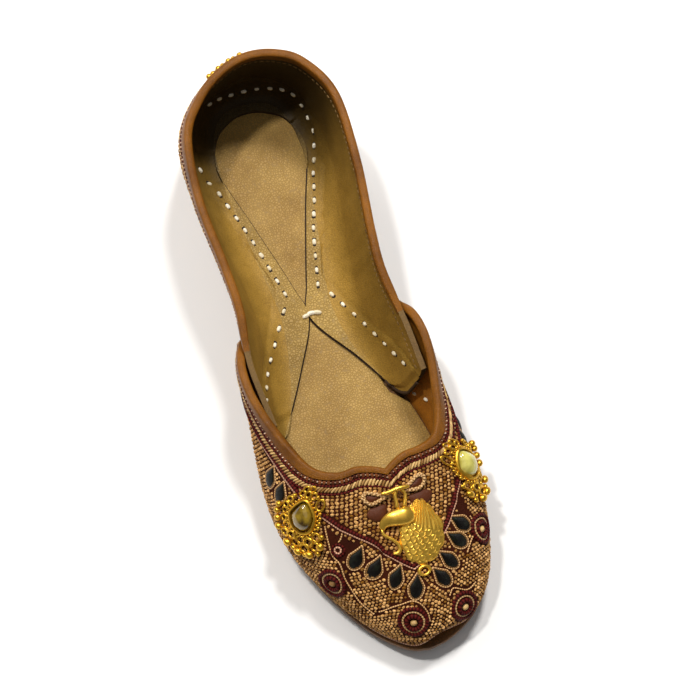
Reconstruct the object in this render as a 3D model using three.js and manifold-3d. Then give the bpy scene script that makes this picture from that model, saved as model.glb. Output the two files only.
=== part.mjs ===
// A right-foot mojari: a flat leather slip-on with an embroidered vamp whose wings lap outside a plain lined
// quarter, rolled leather bindings on both top edges, and metal jewels sewn to the vamp.
// Millimetres, +Z up. The medial side is +X, the toe points to -Y and the shoe stands on z = 0.
import * as THREE from "three";
import { mergeVertices } from "three/addons/utils/BufferGeometryUtils.js";
import Module from "manifold-3d";

// Driving sizes
const SHOE_LENGTH = 250;
const OUTSOLE_THICKNESS = 4.5;
const HEEL_LIFT = 4;
const HEEL_END = 56;
const HEEL_BREAST = 1.5;
const FOREFOOT_START = 138;
const SPRING_START = 205;
const TOE_SPRING = 5;
const SOLE_EDGE_ROUND = 1;
const INSOLE_THICKNESS = 2;
const INSOLE_INSET = { ends: 5.4, waist: 8.6 };
const INSOLE_WAIST = { start: 56, full: 120, end: 152, wide: 168 };
const WALL = 2.2;
const FLAP_THICKNESS = 1.2;
const FLAP_FILLET = 5;
const CLEARANCE = 0.3;
const BINDING_LEATHER = 0.8;
const BINDING_DEPTH = 3.6;
const VAMP_INSET = 1.6;
const THROAT_NOTCH = { depth: 4.6, reach: 1.35, sharpness: 1.6 };
const TOE_NOTCH = { height: 3.2, reach: 0.8 };

// Outline of the sole seen from above, closed, from the heel's back along the medial side to the toe and
// back along the lateral side. "across" is +X, "along" is the distance from the back of the heel.
const SOLE_OUTLINE = [
  { across: -1.5, along: 1 },
  { across: 14.5, along: 5.5 },
  { across: 23.5, along: 20 },
  { across: 25.5, along: 42 },
  { across: 22, along: 72 },
  { across: 20.5, along: 100 },
  { across: 26, along: 130 },
  { across: 35.3, along: 165 },
  { across: 38.4, along: 196 },
  { across: 35.4, along: 224 },
  { across: 26, along: 240.5 },
  { across: 5.5, along: 249 },
  { across: -10.5, along: 240.5 },
  { across: -25, along: 220 },
  { across: -35.3, along: 193 },
  { across: -36, along: 165 },
  { across: -28.5, along: 130 },
  { across: -24.5, along: 100 },
  { across: -26, along: 72 },
  { across: -28.5, along: 42 },
  { across: -26.5, along: 20 },
  { across: -17.5, along: 5.5 },
];
const TOE_CORNER = 11;

// Strips of the vamp from the medial wing round the throat to the lateral wing. Each rises from the sole
// ("foot" counts corners of the outline) to the top edge; rise and belly shape its lower half, over and
// drop its upper half.
const VAMP_STRIPS = [
  { foot: 5.3, across: 32.3, along: 118.5, height: 35.5, rise: 10, belly: 6, over: 1, drop: 11 },
  { foot: 5.7, across: 35.2, along: 125.5, height: 41, rise: 12, belly: 6.5, over: 1.5, drop: 13 },
  { foot: 6.1, across: 36.6, along: 134, height: 42.6, rise: 12, belly: 6, over: 2, drop: 13 },
  { foot: 6.55, across: 36.6, along: 144.5, height: 41.6, rise: 12, belly: 6, over: 3, drop: 12 },
  { foot: 7.1, across: 34.9, along: 156, height: 39.8, rise: 13, belly: 7, over: 5, drop: 10 },
  { foot: 7.8, across: 32.3, along: 166.5, height: 38.8, rise: 14, belly: 8.5, over: 8, drop: 8 },
  { foot: 8.5, across: 28, along: 175, height: 38.5, rise: 15, belly: 9.5, over: 13, drop: 6 },
  { foot: 9.2, across: 21, along: 178.3, height: 39.8, rise: 15, belly: 9, over: 22, drop: 6 },
  { foot: 9.95, across: 13, along: 179.3, height: 41.2, rise: 14, belly: 6, over: 32, drop: 9 },
  { foot: 10.7, across: 5.3, along: 179.5, height: 42, rise: 14, belly: 2.5, over: 36, drop: 10 },
  { foot: 11.6, across: -4, along: 180, height: 42, rise: 15, belly: 3, over: 32, drop: 9 },
  { foot: 12.6, across: -13, along: 180.5, height: 41.8, rise: 15, belly: 4.5, over: 23, drop: 6 },
  { foot: 13.6, across: -22, along: 175.5, height: 41, rise: 15, belly: 7, over: 13, drop: 6 },
  { foot: 14.4, across: -28.6, along: 164, height: 40.5, rise: 14, belly: 8, over: 7, drop: 8 },
  { foot: 15, across: -33.4, along: 153, height: 41.3, rise: 13, belly: 8, over: 4, drop: 11 },
  { foot: 15.5, across: -36.6, along: 142, height: 42.6, rise: 13, belly: 7.5, over: 2.5, drop: 13 },
  { foot: 15.95, across: -37.6, along: 132, height: 42.6, rise: 13, belly: 7, over: 2, drop: 13 },
  { foot: 16.35, across: -37, along: 125, height: 40.5, rise: 12, belly: 7.5, over: 1.5, drop: 13 },
  { foot: 16.75, across: -35, along: 118.5, height: 35.5, rise: 10, belly: 7, over: 1, drop: 11 },
];
const RIDGE_STRIP = 9;

// Strips of the quarter from its lateral front end round the heel to its medial front end. "inset" is how
// far the foot stands inside the sole's outline, and flapAcross, flapAlong are the inner edge of the
// turned-in flap that lies on the insole.
const QUARTER_STRIPS = [
  { foot: 15.45, across: -30.6, along: 149, height: 36, rise: 9, belly: 4, over: 1, drop: 10, inset: 5.8,
    flapAcross: -24, flapAlong: 148 },
  { foot: 16, across: -31.6, along: 129, height: 41.5, rise: 9, belly: 5, over: 1, drop: 11, inset: 5.6,
    flapAcross: -11.5, flapAlong: 128 },
  { foot: 16.7, across: -31.8, along: 108, height: 46, rise: 10, belly: 5.5, over: 1, drop: 12, inset: 5,
    flapAcross: -1.8, flapAlong: 107 },
  { foot: 17.4, across: -32.6, along: 91, height: 48.5, rise: 10, belly: 6, over: 1, drop: 12, inset: 3.4,
    flapAcross: -4.6, flapAlong: 92 },
  { foot: 18.3, across: -35, along: 62, height: 52.5, rise: 11, belly: 6, over: 1, drop: 13, inset: 2,
    flapAcross: -13.2, flapAlong: 62 },
  { foot: 19.2, across: -32.4, along: 36, height: 55.5, rise: 12, belly: 7, over: 3, drop: 14, inset: 2,
    flapAcross: -20, flapAlong: 37 },
  { foot: 20.2, across: -23.3, along: 21.8, height: 56.8, rise: 13, belly: 5.5, over: 2.5, drop: 15, inset: 2,
    flapAcross: -16.5, flapAlong: 22.5 },
  { foot: 21.1, across: -12.8, along: 13, height: 57, rise: 14, belly: 3.5, over: 1.5, drop: 16, inset: 2,
    flapAcross: -9, flapAlong: 15.8 },
  { foot: 22, across: -0.8, along: 8.8, height: 57, rise: 14, belly: 3, over: 2.5, drop: 16, inset: 2,
    flapAcross: -1.5, flapAlong: 14 },
  { foot: 22.9, across: 11.3, along: 10.4, height: 57, rise: 14, belly: 3.5, over: 1.5, drop: 16, inset: 2,
    flapAcross: 6.5, flapAlong: 15.8 },
  { foot: 23.8, across: 21.8, along: 17.2, height: 56.8, rise: 13, belly: 4.5, over: 0.5, drop: 15, inset: 2,
    flapAcross: 14, flapAlong: 21.5 },
  { foot: 24.8, across: 30.4, along: 34, height: 56, rise: 12, belly: 6, over: 0.5, drop: 14, inset: 2,
    flapAcross: 18, flapAlong: 36 },
  { foot: 25.7, across: 31, along: 62, height: 53.5, rise: 11, belly: 6, over: 1, drop: 13, inset: 2,
    flapAcross: 10.4, flapAlong: 62 },
  { foot: 26.6, across: 28.6, along: 91, height: 49, rise: 10, belly: 6, over: 1, drop: 12, inset: 3.4,
    flapAcross: 1.9, flapAlong: 92 },
  { foot: 27.3, across: 28.2, along: 108, height: 46, rise: 10, belly: 5.5, over: 1, drop: 12, inset: 5,
    flapAcross: -1, flapAlong: 107 },
  { foot: 28, across: 30.2, along: 129, height: 41.5, rise: 9, belly: 5, over: 1, drop: 11, inset: 5.6,
    flapAcross: 12.5, flapAlong: 128 },
  { foot: 28.55, across: 30.6, along: 149, height: 36, rise: 9, belly: 4, over: 1, drop: 10, inset: 5.8,
    flapAcross: 24, flapAlong: 147 },
];

// Ornaments lie on a wall at a place along it and a share of its height.
const WIRE = 0.6;
const BEAD_RADIUS = 1.5;
const LINK_RADIUS = 1.8;
const JEWEL_LINKS = 7;
const STONE = { width: 9, length: 11.5, dome: 3.4, taper: 0.35 };
const BEZEL = { rim: 1.3, height: 1.8 };
const JEWEL_LATERAL = { place: 11.84, share: 0.67 };
const JEWEL_MEDIAL = { place: 5.89, share: 0.66 };
const PENDANT = { place: 8.6, share: 0.69 };
const PEACOCK_TAIL = {
  width: 17, length: 27, taper: 0.45, lobes: 9, scallop: 0.07, thickness: 1.2, dome: 0.6,
};
const PEACOCK_NECK = { radius: 1.8, route: [[2, 10.5], [-4, 12.5], [-9, 11.5], [-12.4, 8.5]] };
const PEACOCK_CURL = { radius: 0.8, route: [[-12.2, 9], [-12.4, 3.5], [-9.8, 0], [-12.5, -4.2]] };
const SEWING_RING = { top: [-2.6, 19.3], bottom: [-1, -15], radius: 2.1, link: 0.8, linkEnd: [-1.6, 12] };
const BOW = {
  place: 8.93, share: 0.873, start: 2.6, loopLength: 9.5, loopWidth: 10, ribbon: 1.1, height: 2.2,
};
const BOW_BRIDGE = { width: 2.2, thickness: 0.7, overlap: 1 };
const HEEL_BEADS = { place: 7.3, share: 0.86, count: 5, pitch: 3.4, wave: 1.4 };

// How finely the curved pieces are cut into facets
const STATIONS_PER_STRIP = 3;
const VAMP_LEVELS = 9;
const QUARTER_LEVELS = 7;
const FILLET_STEPS = 3;
const SOLE_STATIONS = 26;
const WIRE_SIDES = 6;
const BEAD_FACETS = { around: 6, down: 4 };
const RING_FACETS = { around: 8, section: 4 };
const ORNAMENT_POINTS = 16;

const UP = new THREE.Vector3(0, 0, 1);
const SMALL_STEP = 1e-3;

function point(across, along, height) {
  return new THREE.Vector3(across, SHOE_LENGTH / 2 - along, height);
}

function alongOf(position) {
  return SHOE_LENGTH / 2 - position.y;
}

// Height of the sole's body over the floor: heel lift, waist falling to the ball, then toe spring.
function soleLift(along) {
  const waist = HEEL_LIFT * (1 - THREE.MathUtils.smoothstep(along, HEEL_END, FOREFOOT_START));
  const spring = Math.max(0, (along - SPRING_START) / (SHOE_LENGTH - SPRING_START));
  return waist + TOE_SPRING * spring ** 2;
}

function soleTop(along) {
  return soleLift(along) + OUTSOLE_THICKNESS;
}

function insoleTop(along) {
  return soleTop(along) + CLEARANCE + INSOLE_THICKNESS;
}

// The insole is narrower along the waist, where the quarter stands further in.
function insoleInset(along) {
  const { start, full, end, wide } = INSOLE_WAIST;
  const narrowing = THREE.MathUtils.smoothstep(along, start, full);
  const widening = THREE.MathUtils.smoothstep(along, end, wide);
  return THREE.MathUtils.lerp(INSOLE_INSET.ends, INSOLE_INSET.waist, narrowing * (1 - widening));
}

const outlineCurve = new THREE.CatmullRomCurve3(
  SOLE_OUTLINE.map((row) => point(row.across, row.along, 0)), true, "catmullrom");

// A point of the sole's outline moved inwards, with the outward direction there.
function outlineAt(corner, inset) {
  const wrapped = THREE.MathUtils.euclideanModulo(corner, SOLE_OUTLINE.length) / SOLE_OUTLINE.length;
  const outward = outlineCurve.getTangent(wrapped).cross(UP).negate();
  const position = outlineCurve.getPoint(wrapped).addScaledVector(outward, -inset);
  return { position, outward };
}

// Smooth values between the rows of a table, each column by itself.
function rowAt(table, place) {
  const last = table.length - 1;
  const clamped = THREE.MathUtils.clamp(place, 0, last);
  const index = Math.min(Math.floor(clamped), last - 1);
  const t = clamped - index;
  const row = {};
  for (const column of Object.keys(table[0])) {
    const b = table[index][column];
    const c = table[index + 1][column];
    const a = index > 0 ? table[index - 1][column] : 2 * b - c;
    const d = index < last - 1 ? table[index + 2][column] : 2 * c - b;
    row[column] = b + 0.5 * t * (c - a + t * (2 * a - 5 * b + 4 * c - d + t * (3 * (b - c) + d - a)));
  }
  return row;
}

// The curve of one strip's outer face, from the sole to the top edge.
function stripCurve(table, place, inset, lift) {
  const row = rowAt(table, place);
  const foot = outlineAt(row.foot, inset);
  const before = rowAt(table, place - SMALL_STEP);
  const after = rowAt(table, place + SMALL_STEP);
  const travel = point(after.across, after.along, 0).sub(point(before.across, before.along, 0));
  const edgeOutward = travel.normalize().cross(UP).negate();
  const start = foot.position.clone();
  start.z = soleTop(alongOf(start)) + CLEARANCE + lift;
  const end = point(row.across, row.along, row.height);
  const lower = start.clone().addScaledVector(foot.outward, row.belly).addScaledVector(UP, row.rise);
  const upper = end.clone().addScaledVector(edgeOutward, row.over).addScaledVector(UP, -row.drop);
  return new THREE.CubicBezierCurve3(start, lower, upper, end);
}

function vampCurve(place) {
  const nearRidge = 1 - Math.abs(place - RIDGE_STRIP) / TOE_NOTCH.reach;
  const lift = TOE_NOTCH.height * THREE.MathUtils.smoothstep(nearRidge, 0, 1);
  return stripCurve(VAMP_STRIPS, place, VAMP_INSET, lift);
}

function quarterCurve(place) {
  return stripCurve(QUARTER_STRIPS, place, rowAt(QUARTER_STRIPS, place).inset, 0);
}

// The vamp's edge is cut back to a notch at the middle of the throat.
function vampEdgeShare(place) {
  const nearNotch = Math.max(0, 1 - Math.abs(place - RIDGE_STRIP) / THROAT_NOTCH.reach);
  const cut = THROAT_NOTCH.depth * nearNotch ** THROAT_NOTCH.sharpness;
  const curve = vampCurve(place);
  return 1 - cut / (3 * curve.v3.distanceTo(curve.v2));
}

// Position, outward normal and upward tangent of a wall at a place along it and a share of its height.
function wallFrame(curveAt, place, share, lastPlace) {
  const from = Math.max(place - SMALL_STEP, 0);
  const to = Math.min(place + SMALL_STEP, lastPlace);
  const sideways = curveAt(to).getPoint(share).sub(curveAt(from).getPoint(share));
  const curve = curveAt(place);
  const upward = curve.getTangent(share);
  const normal = upward.clone().cross(sideways).normalize();
  return { position: curve.getPoint(share), normal, upward };
}

function vampFrame(place, share) {
  return wallFrame(vampCurve, place, share, VAMP_STRIPS.length - 1);
}

function quarterFrame(place, share) {
  return wallFrame(quarterCurve, place, share, QUARTER_STRIPS.length - 1);
}

function stationsOf(table) {
  const count = (table.length - 1) * STATIONS_PER_STRIP;
  return Array.from({ length: count + 1 }, (_, index) => index / STATIONS_PER_STRIP);
}

function signedVolume(vertices, triangles) {
  let volume = 0;
  for (const [a, b, c] of triangles) {
    volume += vertices[a].dot(vertices[b].clone().cross(vertices[c])) / 6;
  }
  return volume;
}

function toGeometry(vertices, triangles) {
  const outward = signedVolume(vertices, triangles) > 0;
  const order = outward ? triangles : triangles.map(([a, b, c]) => [a, c, b]);
  const geometry = new THREE.BufferGeometry();
  geometry.setAttribute("position", new THREE.Float32BufferAttribute(vertices.flatMap((v) => v.toArray()), 3));
  geometry.setIndex(order.flat());
  geometry.computeVertexNormals();
  return geometry;
}

// Triangles that close a loop of points, seen along the loop's own axis.
function capTriangles(loop) {
  const axis = new THREE.Vector3();
  loop.forEach((p, index) => axis.add(p.clone().cross(loop[(index + 1) % loop.length])));
  axis.normalize();
  const side = loop[1].clone().sub(loop[0]).projectOnPlane(axis).normalize();
  const other = axis.clone().cross(side);
  const flat = loop.map((p) => new THREE.Vector2(p.dot(side), p.dot(other)));
  return THREE.ShapeUtils.triangulateShape(flat, []).map(([a, b, c]) => {
    const turn = flat[b].clone().sub(flat[a]).cross(flat[c].clone().sub(flat[a]));
    return turn > 0 ? [a, b, c] : [a, c, b];
  });
}

// A solid through closed sections that all have the same number of points.
function loft(sections) {
  const size = sections[0].length;
  const vertices = sections.flat();
  const triangles = [];
  for (let station = 0; station < sections.length - 1; station += 1) {
    for (let index = 0; index < size; index += 1) {
      const a = station * size + index;
      const b = station * size + ((index + 1) % size);
      triangles.push([a, a + size, b + size], [a, b + size, b]);
    }
  }
  const end = (sections.length - 1) * size;
  triangles.push(...capTriangles(sections[0]));
  triangles.push(...capTriangles(sections.at(-1)).map(([a, b, c]) => [end + a, end + c, end + b]));
  return toGeometry(vertices, triangles);
}

// Where the sole's outline, moved inwards, crosses a distance along the shoe on one side.
function outlineCrossing(along, inset, heelCorner) {
  let low = heelCorner;
  let high = TOE_CORNER;
  for (let step = 0; step < 40; step += 1) {
    const middle = (low + high) / 2;
    const short = alongOf(outlineAt(middle, inset).position) < along;
    low = short ? middle : low;
    high = short ? high : middle;
  }
  return outlineAt(low, inset).position;
}

// Distances along the shoe, closer together at the rounded heel and toe, with the heel's breast added.
function soleStations(endInset) {
  const back = alongOf(outlineAt(0, endInset).position);
  const front = alongOf(outlineAt(TOE_CORNER, endInset).position);
  const stations = [];
  for (let index = 1; index < SOLE_STATIONS; index += 1) {
    const share = (1 - Math.cos((Math.PI * index) / SOLE_STATIONS)) / 2;
    stations.push(THREE.MathUtils.lerp(back, front, share));
  }
  return stations;
}

// A plate that follows the sole's outline, from rings of an inset and a height along the shoe, lowest first.
// Each ring runs from the heel's back along the medial side to the toe's tip and back along the lateral side.
function plate(rings, stations) {
  const count = stations.length;
  const size = 2 * count + 2;
  const vertices = [];
  const triangles = [];
  for (const ring of rings) {
    const medial = stations.map((along) => outlineCrossing(along, ring.inset(along), 0));
    const lateral = stations.map((along) =>
      outlineCrossing(along, ring.inset(along), SOLE_OUTLINE.length));
    const heelBack = outlineAt(0, ring.inset(0)).position;
    const toeTip = outlineAt(TOE_CORNER, ring.inset(SHOE_LENGTH)).position;
    for (const position of [heelBack, ...medial, toeTip, ...lateral.reverse()]) {
      position.z = ring.height(alongOf(position));
      vertices.push(position);
    }
  }
  for (let level = 0; level < rings.length - 1; level += 1) {
    for (let index = 0; index < size; index += 1) {
      const a = level * size + index;
      const b = level * size + ((index + 1) % size);
      triangles.push([a, b, b + size], [a, b + size, a + size]);
    }
  }
  const face = [[0, 1, size - 1], [count, count + 1, count + 2]];
  for (let index = 1; index < count; index += 1) {
    face.push([index, index + 1, size - 1 - index], [index, size - 1 - index, size - index]);
  }
  const top = (rings.length - 1) * size;
  for (const [a, b, c] of face) {
    triangles.push([a, c, b], [top + a, top + b, top + c]);
  }
  return toGeometry(vertices, triangles);
}

// The leather outsole with its low heel, cut from one block with softly rounded edges.
function outsoleGeometry() {
  const onHeel = (along) => along < HEEL_END;
  const bottom = (along) => (onHeel(along) ? 0 : soleLift(along));
  const stations = soleStations(SOLE_EDGE_ROUND)
    .filter((along) => Math.abs(along - HEEL_END) > HEEL_BREAST)
    .concat([HEEL_END - HEEL_BREAST / 2, HEEL_END + HEEL_BREAST / 2])
    .sort((a, b) => a - b);
  const rounded = () => SOLE_EDGE_ROUND;
  const full = () => 0;
  return plate([
    { inset: rounded, height: bottom },
    { inset: full, height: (along) => bottom(along) + SOLE_EDGE_ROUND },
    { inset: full, height: (along) => soleTop(along) - SOLE_EDGE_ROUND },
    { inset: rounded, height: soleTop },
  ], stations);
}

// The footbed, lying inside the walls on the outsole.
function insoleGeometry() {
  return plate([
    { inset: insoleInset, height: (along) => soleTop(along) + CLEARANCE },
    { inset: insoleInset, height: insoleTop },
  ], soleStations(INSOLE_INSET.ends));
}

function sharesUpTo(top, levels) {
  return Array.from({ length: levels + 1 }, (_, index) => (top * index) / levels);
}

// The inner face under an outer point, level with the outer point at the sole.
function innerPoint(frame, share) {
  const inner = frame.position.clone().addScaledVector(frame.normal, -WALL);
  if (share === 0) {
    inner.z = frame.position.z;
  }
  return inner;
}

// The hollow front of the upper: toe, instep and the two wings, open at the throat and over the sole.
function vampGeometry() {
  const sections = stationsOf(VAMP_STRIPS).map((place) => {
    const shares = sharesUpTo(vampEdgeShare(place), VAMP_LEVELS);
    const frames = shares.map((share) => vampFrame(place, share));
    const outer = frames.map((frame) => frame.position);
    const inner = frames.map((frame, index) => innerPoint(frame, shares[index]));
    return [...outer, ...inner.reverse()];
  });
  return loft(sections);
}

// The hollow back of the upper with the flap that is turned in over the insole.
function quarterSection(place) {
  const shares = sharesUpTo(1, QUARTER_LEVELS);
  const frames = shares.map((share) => quarterFrame(place, share));
  const outer = frames.map((frame) => frame.position);
  const inner = frames.map((frame, index) => innerPoint(frame, shares[index]));
  const row = rowAt(QUARTER_STRIPS, place);
  const flapEdge = point(row.flapAcross, row.flapAlong, 0);
  const foot = outer[0].clone().setZ(0);
  const inward = flapEdge.clone().sub(foot).normalize();
  const flapTop = (position) => insoleTop(alongOf(position)) + CLEARANCE + FLAP_THICKNESS;
  const corner = foot.clone().addScaledVector(inward, WALL);
  const fillet = new THREE.QuadraticBezierCurve3(
    inner[2],
    corner.clone().setZ(flapTop(corner)),
    corner.clone().addScaledVector(inward, FLAP_FILLET).setZ(flapTop(corner)));
  const bend = fillet.getPoints(FILLET_STEPS).slice(1);
  const edgeTop = flapEdge.clone().setZ(flapTop(flapEdge));
  const edgeUnder = edgeTop.clone().addScaledVector(UP, -FLAP_THICKNESS);
  const cornerUnder = corner.clone().setZ(flapTop(corner) - FLAP_THICKNESS);
  const cornerFoot = corner.clone().setZ(outer[0].z);
  return [...outer, ...inner.slice(2).reverse(), ...bend, edgeTop, edgeUnder, cornerUnder, cornerFoot];
}

function quarterGeometry() {
  return loft(stationsOf(QUARTER_STRIPS).map(quarterSection));
}

// A leather strip folded over a top edge: a channel that follows the wall's frames at and below the edge.
function bindingSection(frameAt, curve, place, edgeShare) {
  const mmPerShare = 3 * curve.v3.distanceTo(curve.v2);
  const edge = frameAt(place, edgeShare);
  const hem = frameAt(place, edgeShare - BINDING_DEPTH / mmPerShare);
  const inside = WALL / 2 + CLEARANCE;
  const outside = inside + BINDING_LEATHER;
  const roof = CLEARANCE + BINDING_LEATHER;
  const offset = (frame, out, up) => frame.position.clone()
    .addScaledVector(frame.normal, out - WALL / 2)
    .addScaledVector(frame.upward, up);
  return [
    offset(hem, outside, 0), offset(edge, outside, 0), offset(edge, outside / 2, roof),
    offset(edge, -outside / 2, roof), offset(edge, -outside, 0), offset(hem, -outside, 0),
    offset(hem, -inside, 0), offset(edge, -inside, CLEARANCE), offset(edge, inside, CLEARANCE),
    offset(hem, inside, 0),
  ];
}

function vampBindingGeometry() {
  return loft(stationsOf(VAMP_STRIPS).map((place) =>
    bindingSection(vampFrame, vampCurve(place), place, vampEdgeShare(place))));
}

function quarterBindingGeometry() {
  return loft(stationsOf(QUARTER_STRIPS).map((place) =>
    bindingSection(quarterFrame, quarterCurve(place), place, 1)));
}

// A flat ornament laid on a wall: its x runs across the wall, y up it and z away from it.
function layOnWall(frameAt, geometry, { place, share }) {
  const here = frameAt(place, share);
  const right = here.upward.clone().cross(here.normal);
  const perPlace = frameAt(place + SMALL_STEP, share).position.sub(here.position).divideScalar(SMALL_STEP);
  const perShare = frameAt(place, share + SMALL_STEP).position.sub(here.position).divideScalar(SMALL_STEP);
  const positions = geometry.getAttribute("position");
  for (let index = 0; index < positions.count; index += 1) {
    const flat = new THREE.Vector3().fromBufferAttribute(positions, index);
    const placeStep = flat.x / perPlace.dot(right);
    const shareStep = (flat.y - placeStep * perPlace.dot(here.upward)) / perShare.dot(here.upward);
    const frame = frameAt(place + placeStep, share + shareStep);
    const laid = frame.position.addScaledVector(frame.normal, flat.z);
    positions.setXYZ(index, laid.x, laid.y, laid.z);
  }
  geometry.computeVertexNormals();
  return geometry;
}

const manifold = await Module();
manifold.setup();

function toSolid(geometry) {
  const bare = new THREE.BufferGeometry();
  bare.setAttribute("position", geometry.getAttribute("position"));
  bare.setIndex(geometry.getIndex());
  const merged = mergeVertices(bare);
  return new manifold.Manifold(new manifold.Mesh({
    numProp: 3,
    vertProperties: new Float32Array(merged.getAttribute("position").array),
    triVerts: new Uint32Array(merged.getIndex().array),
  }));
}

// One solid from overlapping ones.
function joined(geometries) {
  const solid = geometries.map(toSolid).reduce((whole, part) => whole.add(part));
  const mesh = solid.getMesh();
  const geometry = new THREE.BufferGeometry();
  geometry.setAttribute("position", new THREE.Float32BufferAttribute(mesh.vertProperties, 3));
  geometry.setIndex(Array.from(mesh.triVerts));
  return geometry;
}

function bead(x, y) {
  const sphere = new THREE.SphereGeometry(BEAD_RADIUS, BEAD_FACETS.around, BEAD_FACETS.down);
  return sphere.translate(x, y, CLEARANCE + BEAD_RADIUS);
}

function wireRing(x, y, radius, height) {
  const torus = new THREE.TorusGeometry(radius, WIRE, RING_FACETS.section, RING_FACETS.around);
  return torus.translate(x, y, height + WIRE);
}

// A round wire through points of x, y, with its middle at a height over the wall.
function wire(points, radius, height = CLEARANCE + radius) {
  const path = new THREE.CatmullRomCurve3(points.map(([x, y]) => new THREE.Vector3(x, y, height)));
  const section = new THREE.Shape().absarc(0, 0, radius, 0, 2 * Math.PI);
  return new THREE.ExtrudeGeometry(section, {
    steps: 2 * points.length, curveSegments: WIRE_SIDES, bevelEnabled: false, extrudePath: path,
  });
}

// An oval with its upper end drawn to a point, counter-clockwise from the point.
function dropOutline(width, length, taper, count) {
  return Array.from({ length: count }, (_, index) => {
    const angle = (2 * Math.PI * index) / count;
    const narrow = 1 - taper * Math.max(0, Math.cos(angle));
    return new THREE.Vector2(-(width / 2) * Math.sin(angle) * narrow, (length / 2) * Math.cos(angle));
  });
}

function stoneOutline(margin, count = ORNAMENT_POINTS) {
  return dropOutline(STONE.width + 2 * margin, STONE.length + 2 * margin, STONE.taper, count);
}

// A domed stone in low steps, the widest at its foot.
function stoneGeometry() {
  const steps = [
    { scale: 1, rise: 0 }, { scale: 1, rise: 0.3 }, { scale: 0.86, rise: 0.65 }, { scale: 0.58, rise: 0.9 },
    { scale: 0.25, rise: 1 },
  ];
  return loft(steps.map(({ scale, rise }) => stoneOutline(0).map((p) =>
    new THREE.Vector3(p.x * scale, p.y * scale, CLEARANCE + STONE.dome * rise))));
}

function bezelGeometry() {
  const rim = new THREE.Shape(stoneOutline(CLEARANCE + BEZEL.rim));
  rim.holes.push(new THREE.Path(stoneOutline(CLEARANCE)));
  const depth = BEZEL.height;
  return new THREE.ExtrudeGeometry(rim, { depth, bevelEnabled: false }).translate(0, 0, CLEARANCE);
}

// Wire links round the bezel, with a fringe of beads everywhere but at the point.
function jewelGeometry() {
  const ring = CLEARANCE + BEZEL.rim + LINK_RADIUS;
  const fringe = ring + LINK_RADIUS + BEAD_RADIUS / 2;
  const links = stoneOutline(ring, JEWEL_LINKS).map(({ x, y }) => wireRing(x, y, LINK_RADIUS, CLEARANCE));
  const beads = stoneOutline(fringe, JEWEL_LINKS).slice(1).map(({ x, y }) => bead(x, y));
  return joined([bezelGeometry(), ...links, ...beads]);
}

// The peacock's tail: a fan with a scalloped edge, a little domed, in rings that bend with the wall.
function tailGeometry() {
  const { width, length, taper, lobes, scallop, thickness, dome } = PEACOCK_TAIL;
  const outline = dropOutline(width, length, taper, 3 * lobes);
  outline.forEach((p, index) => p.multiplyScalar(index % 3 === 0 ? 1 - scallop : 1));
  const rings = [
    { scale: 0.33, rise: 0 }, { scale: 0.67, rise: 0 }, { scale: 1, rise: 0 },
    { scale: 1, rise: thickness }, { scale: 0.5, rise: thickness + dome },
  ];
  return loft(rings.map(({ scale, rise }) =>
    outline.map((p) => new THREE.Vector3(p.x * scale, p.y * scale, CLEARANCE + rise))));
}

// A peacock in outline: fanned tail, curved neck with a curl at the beak, and a sewing ring at each end.
function pendantGeometry() {
  const overBow = 2 * CLEARANCE + BOW_BRIDGE.thickness;
  const [ringX, ringY] = SEWING_RING.top;
  return joined([
    tailGeometry(),
    wire(PEACOCK_NECK.route, PEACOCK_NECK.radius),
    wire(PEACOCK_CURL.route, PEACOCK_CURL.radius),
    wire([[ringX, ringY - SEWING_RING.radius], SEWING_RING.linkEnd], SEWING_RING.link, overBow + WIRE),
    wireRing(ringX, ringY, SEWING_RING.radius, overBow),
    wireRing(...SEWING_RING.bottom, SEWING_RING.radius, CLEARANCE),
  ]);
}

// Outline of one loop of the ribbon, narrow at the knot and round at its far end.
function bowLoopOutline(side, inset) {
  return Array.from({ length: ORNAMENT_POINTS }, (_, index) => {
    const angle = (2 * Math.PI * index) / ORNAMENT_POINTS;
    const swell = 1.4 * Math.sin(angle) * (0.55 - 0.45 * Math.cos(angle));
    const x = BOW.start + inset + (BOW.loopLength / 2 - inset) * (1 - Math.cos(angle));
    return new THREE.Vector2(side * x, -side * (BOW.loopWidth / 2 - inset) * swell);
  });
}

// Two loops of ribbon standing on edge, and the flat knot between them that lies under the pendant's ring.
function bowGeometry() {
  const loops = [-1, 1].map((side) => {
    const band = new THREE.Shape(bowLoopOutline(side, 0));
    band.holes.push(new THREE.Path(bowLoopOutline(side, BOW.ribbon)));
    const depth = BOW.height;
    return new THREE.ExtrudeGeometry(band, { depth, bevelEnabled: false }).translate(0, 0, CLEARANCE);
  });
  const bridgeLength = 2 * (BOW.start + BOW_BRIDGE.overlap);
  const bridge = new THREE.BoxGeometry(bridgeLength, BOW_BRIDGE.width, BOW_BRIDGE.thickness)
    .translate(0, 0, CLEARANCE + BOW_BRIDGE.thickness / 2);
  return joined([...loops, bridge]);
}

// A short string of beads on the outside of the heel, sewn on in a wave.
function heelBeadsGeometry() {
  const middle = (HEEL_BEADS.count - 1) / 2;
  const spots = Array.from({ length: HEEL_BEADS.count }, (_, index) =>
    [(index - middle) * HEEL_BEADS.pitch, index % 2 === 0 ? HEEL_BEADS.wave : -HEEL_BEADS.wave]);
  return joined([wire(spots, WIRE, CLEARANCE + BEAD_RADIUS), ...spots.map(([x, y]) => bead(x, y))]);
}

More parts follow.
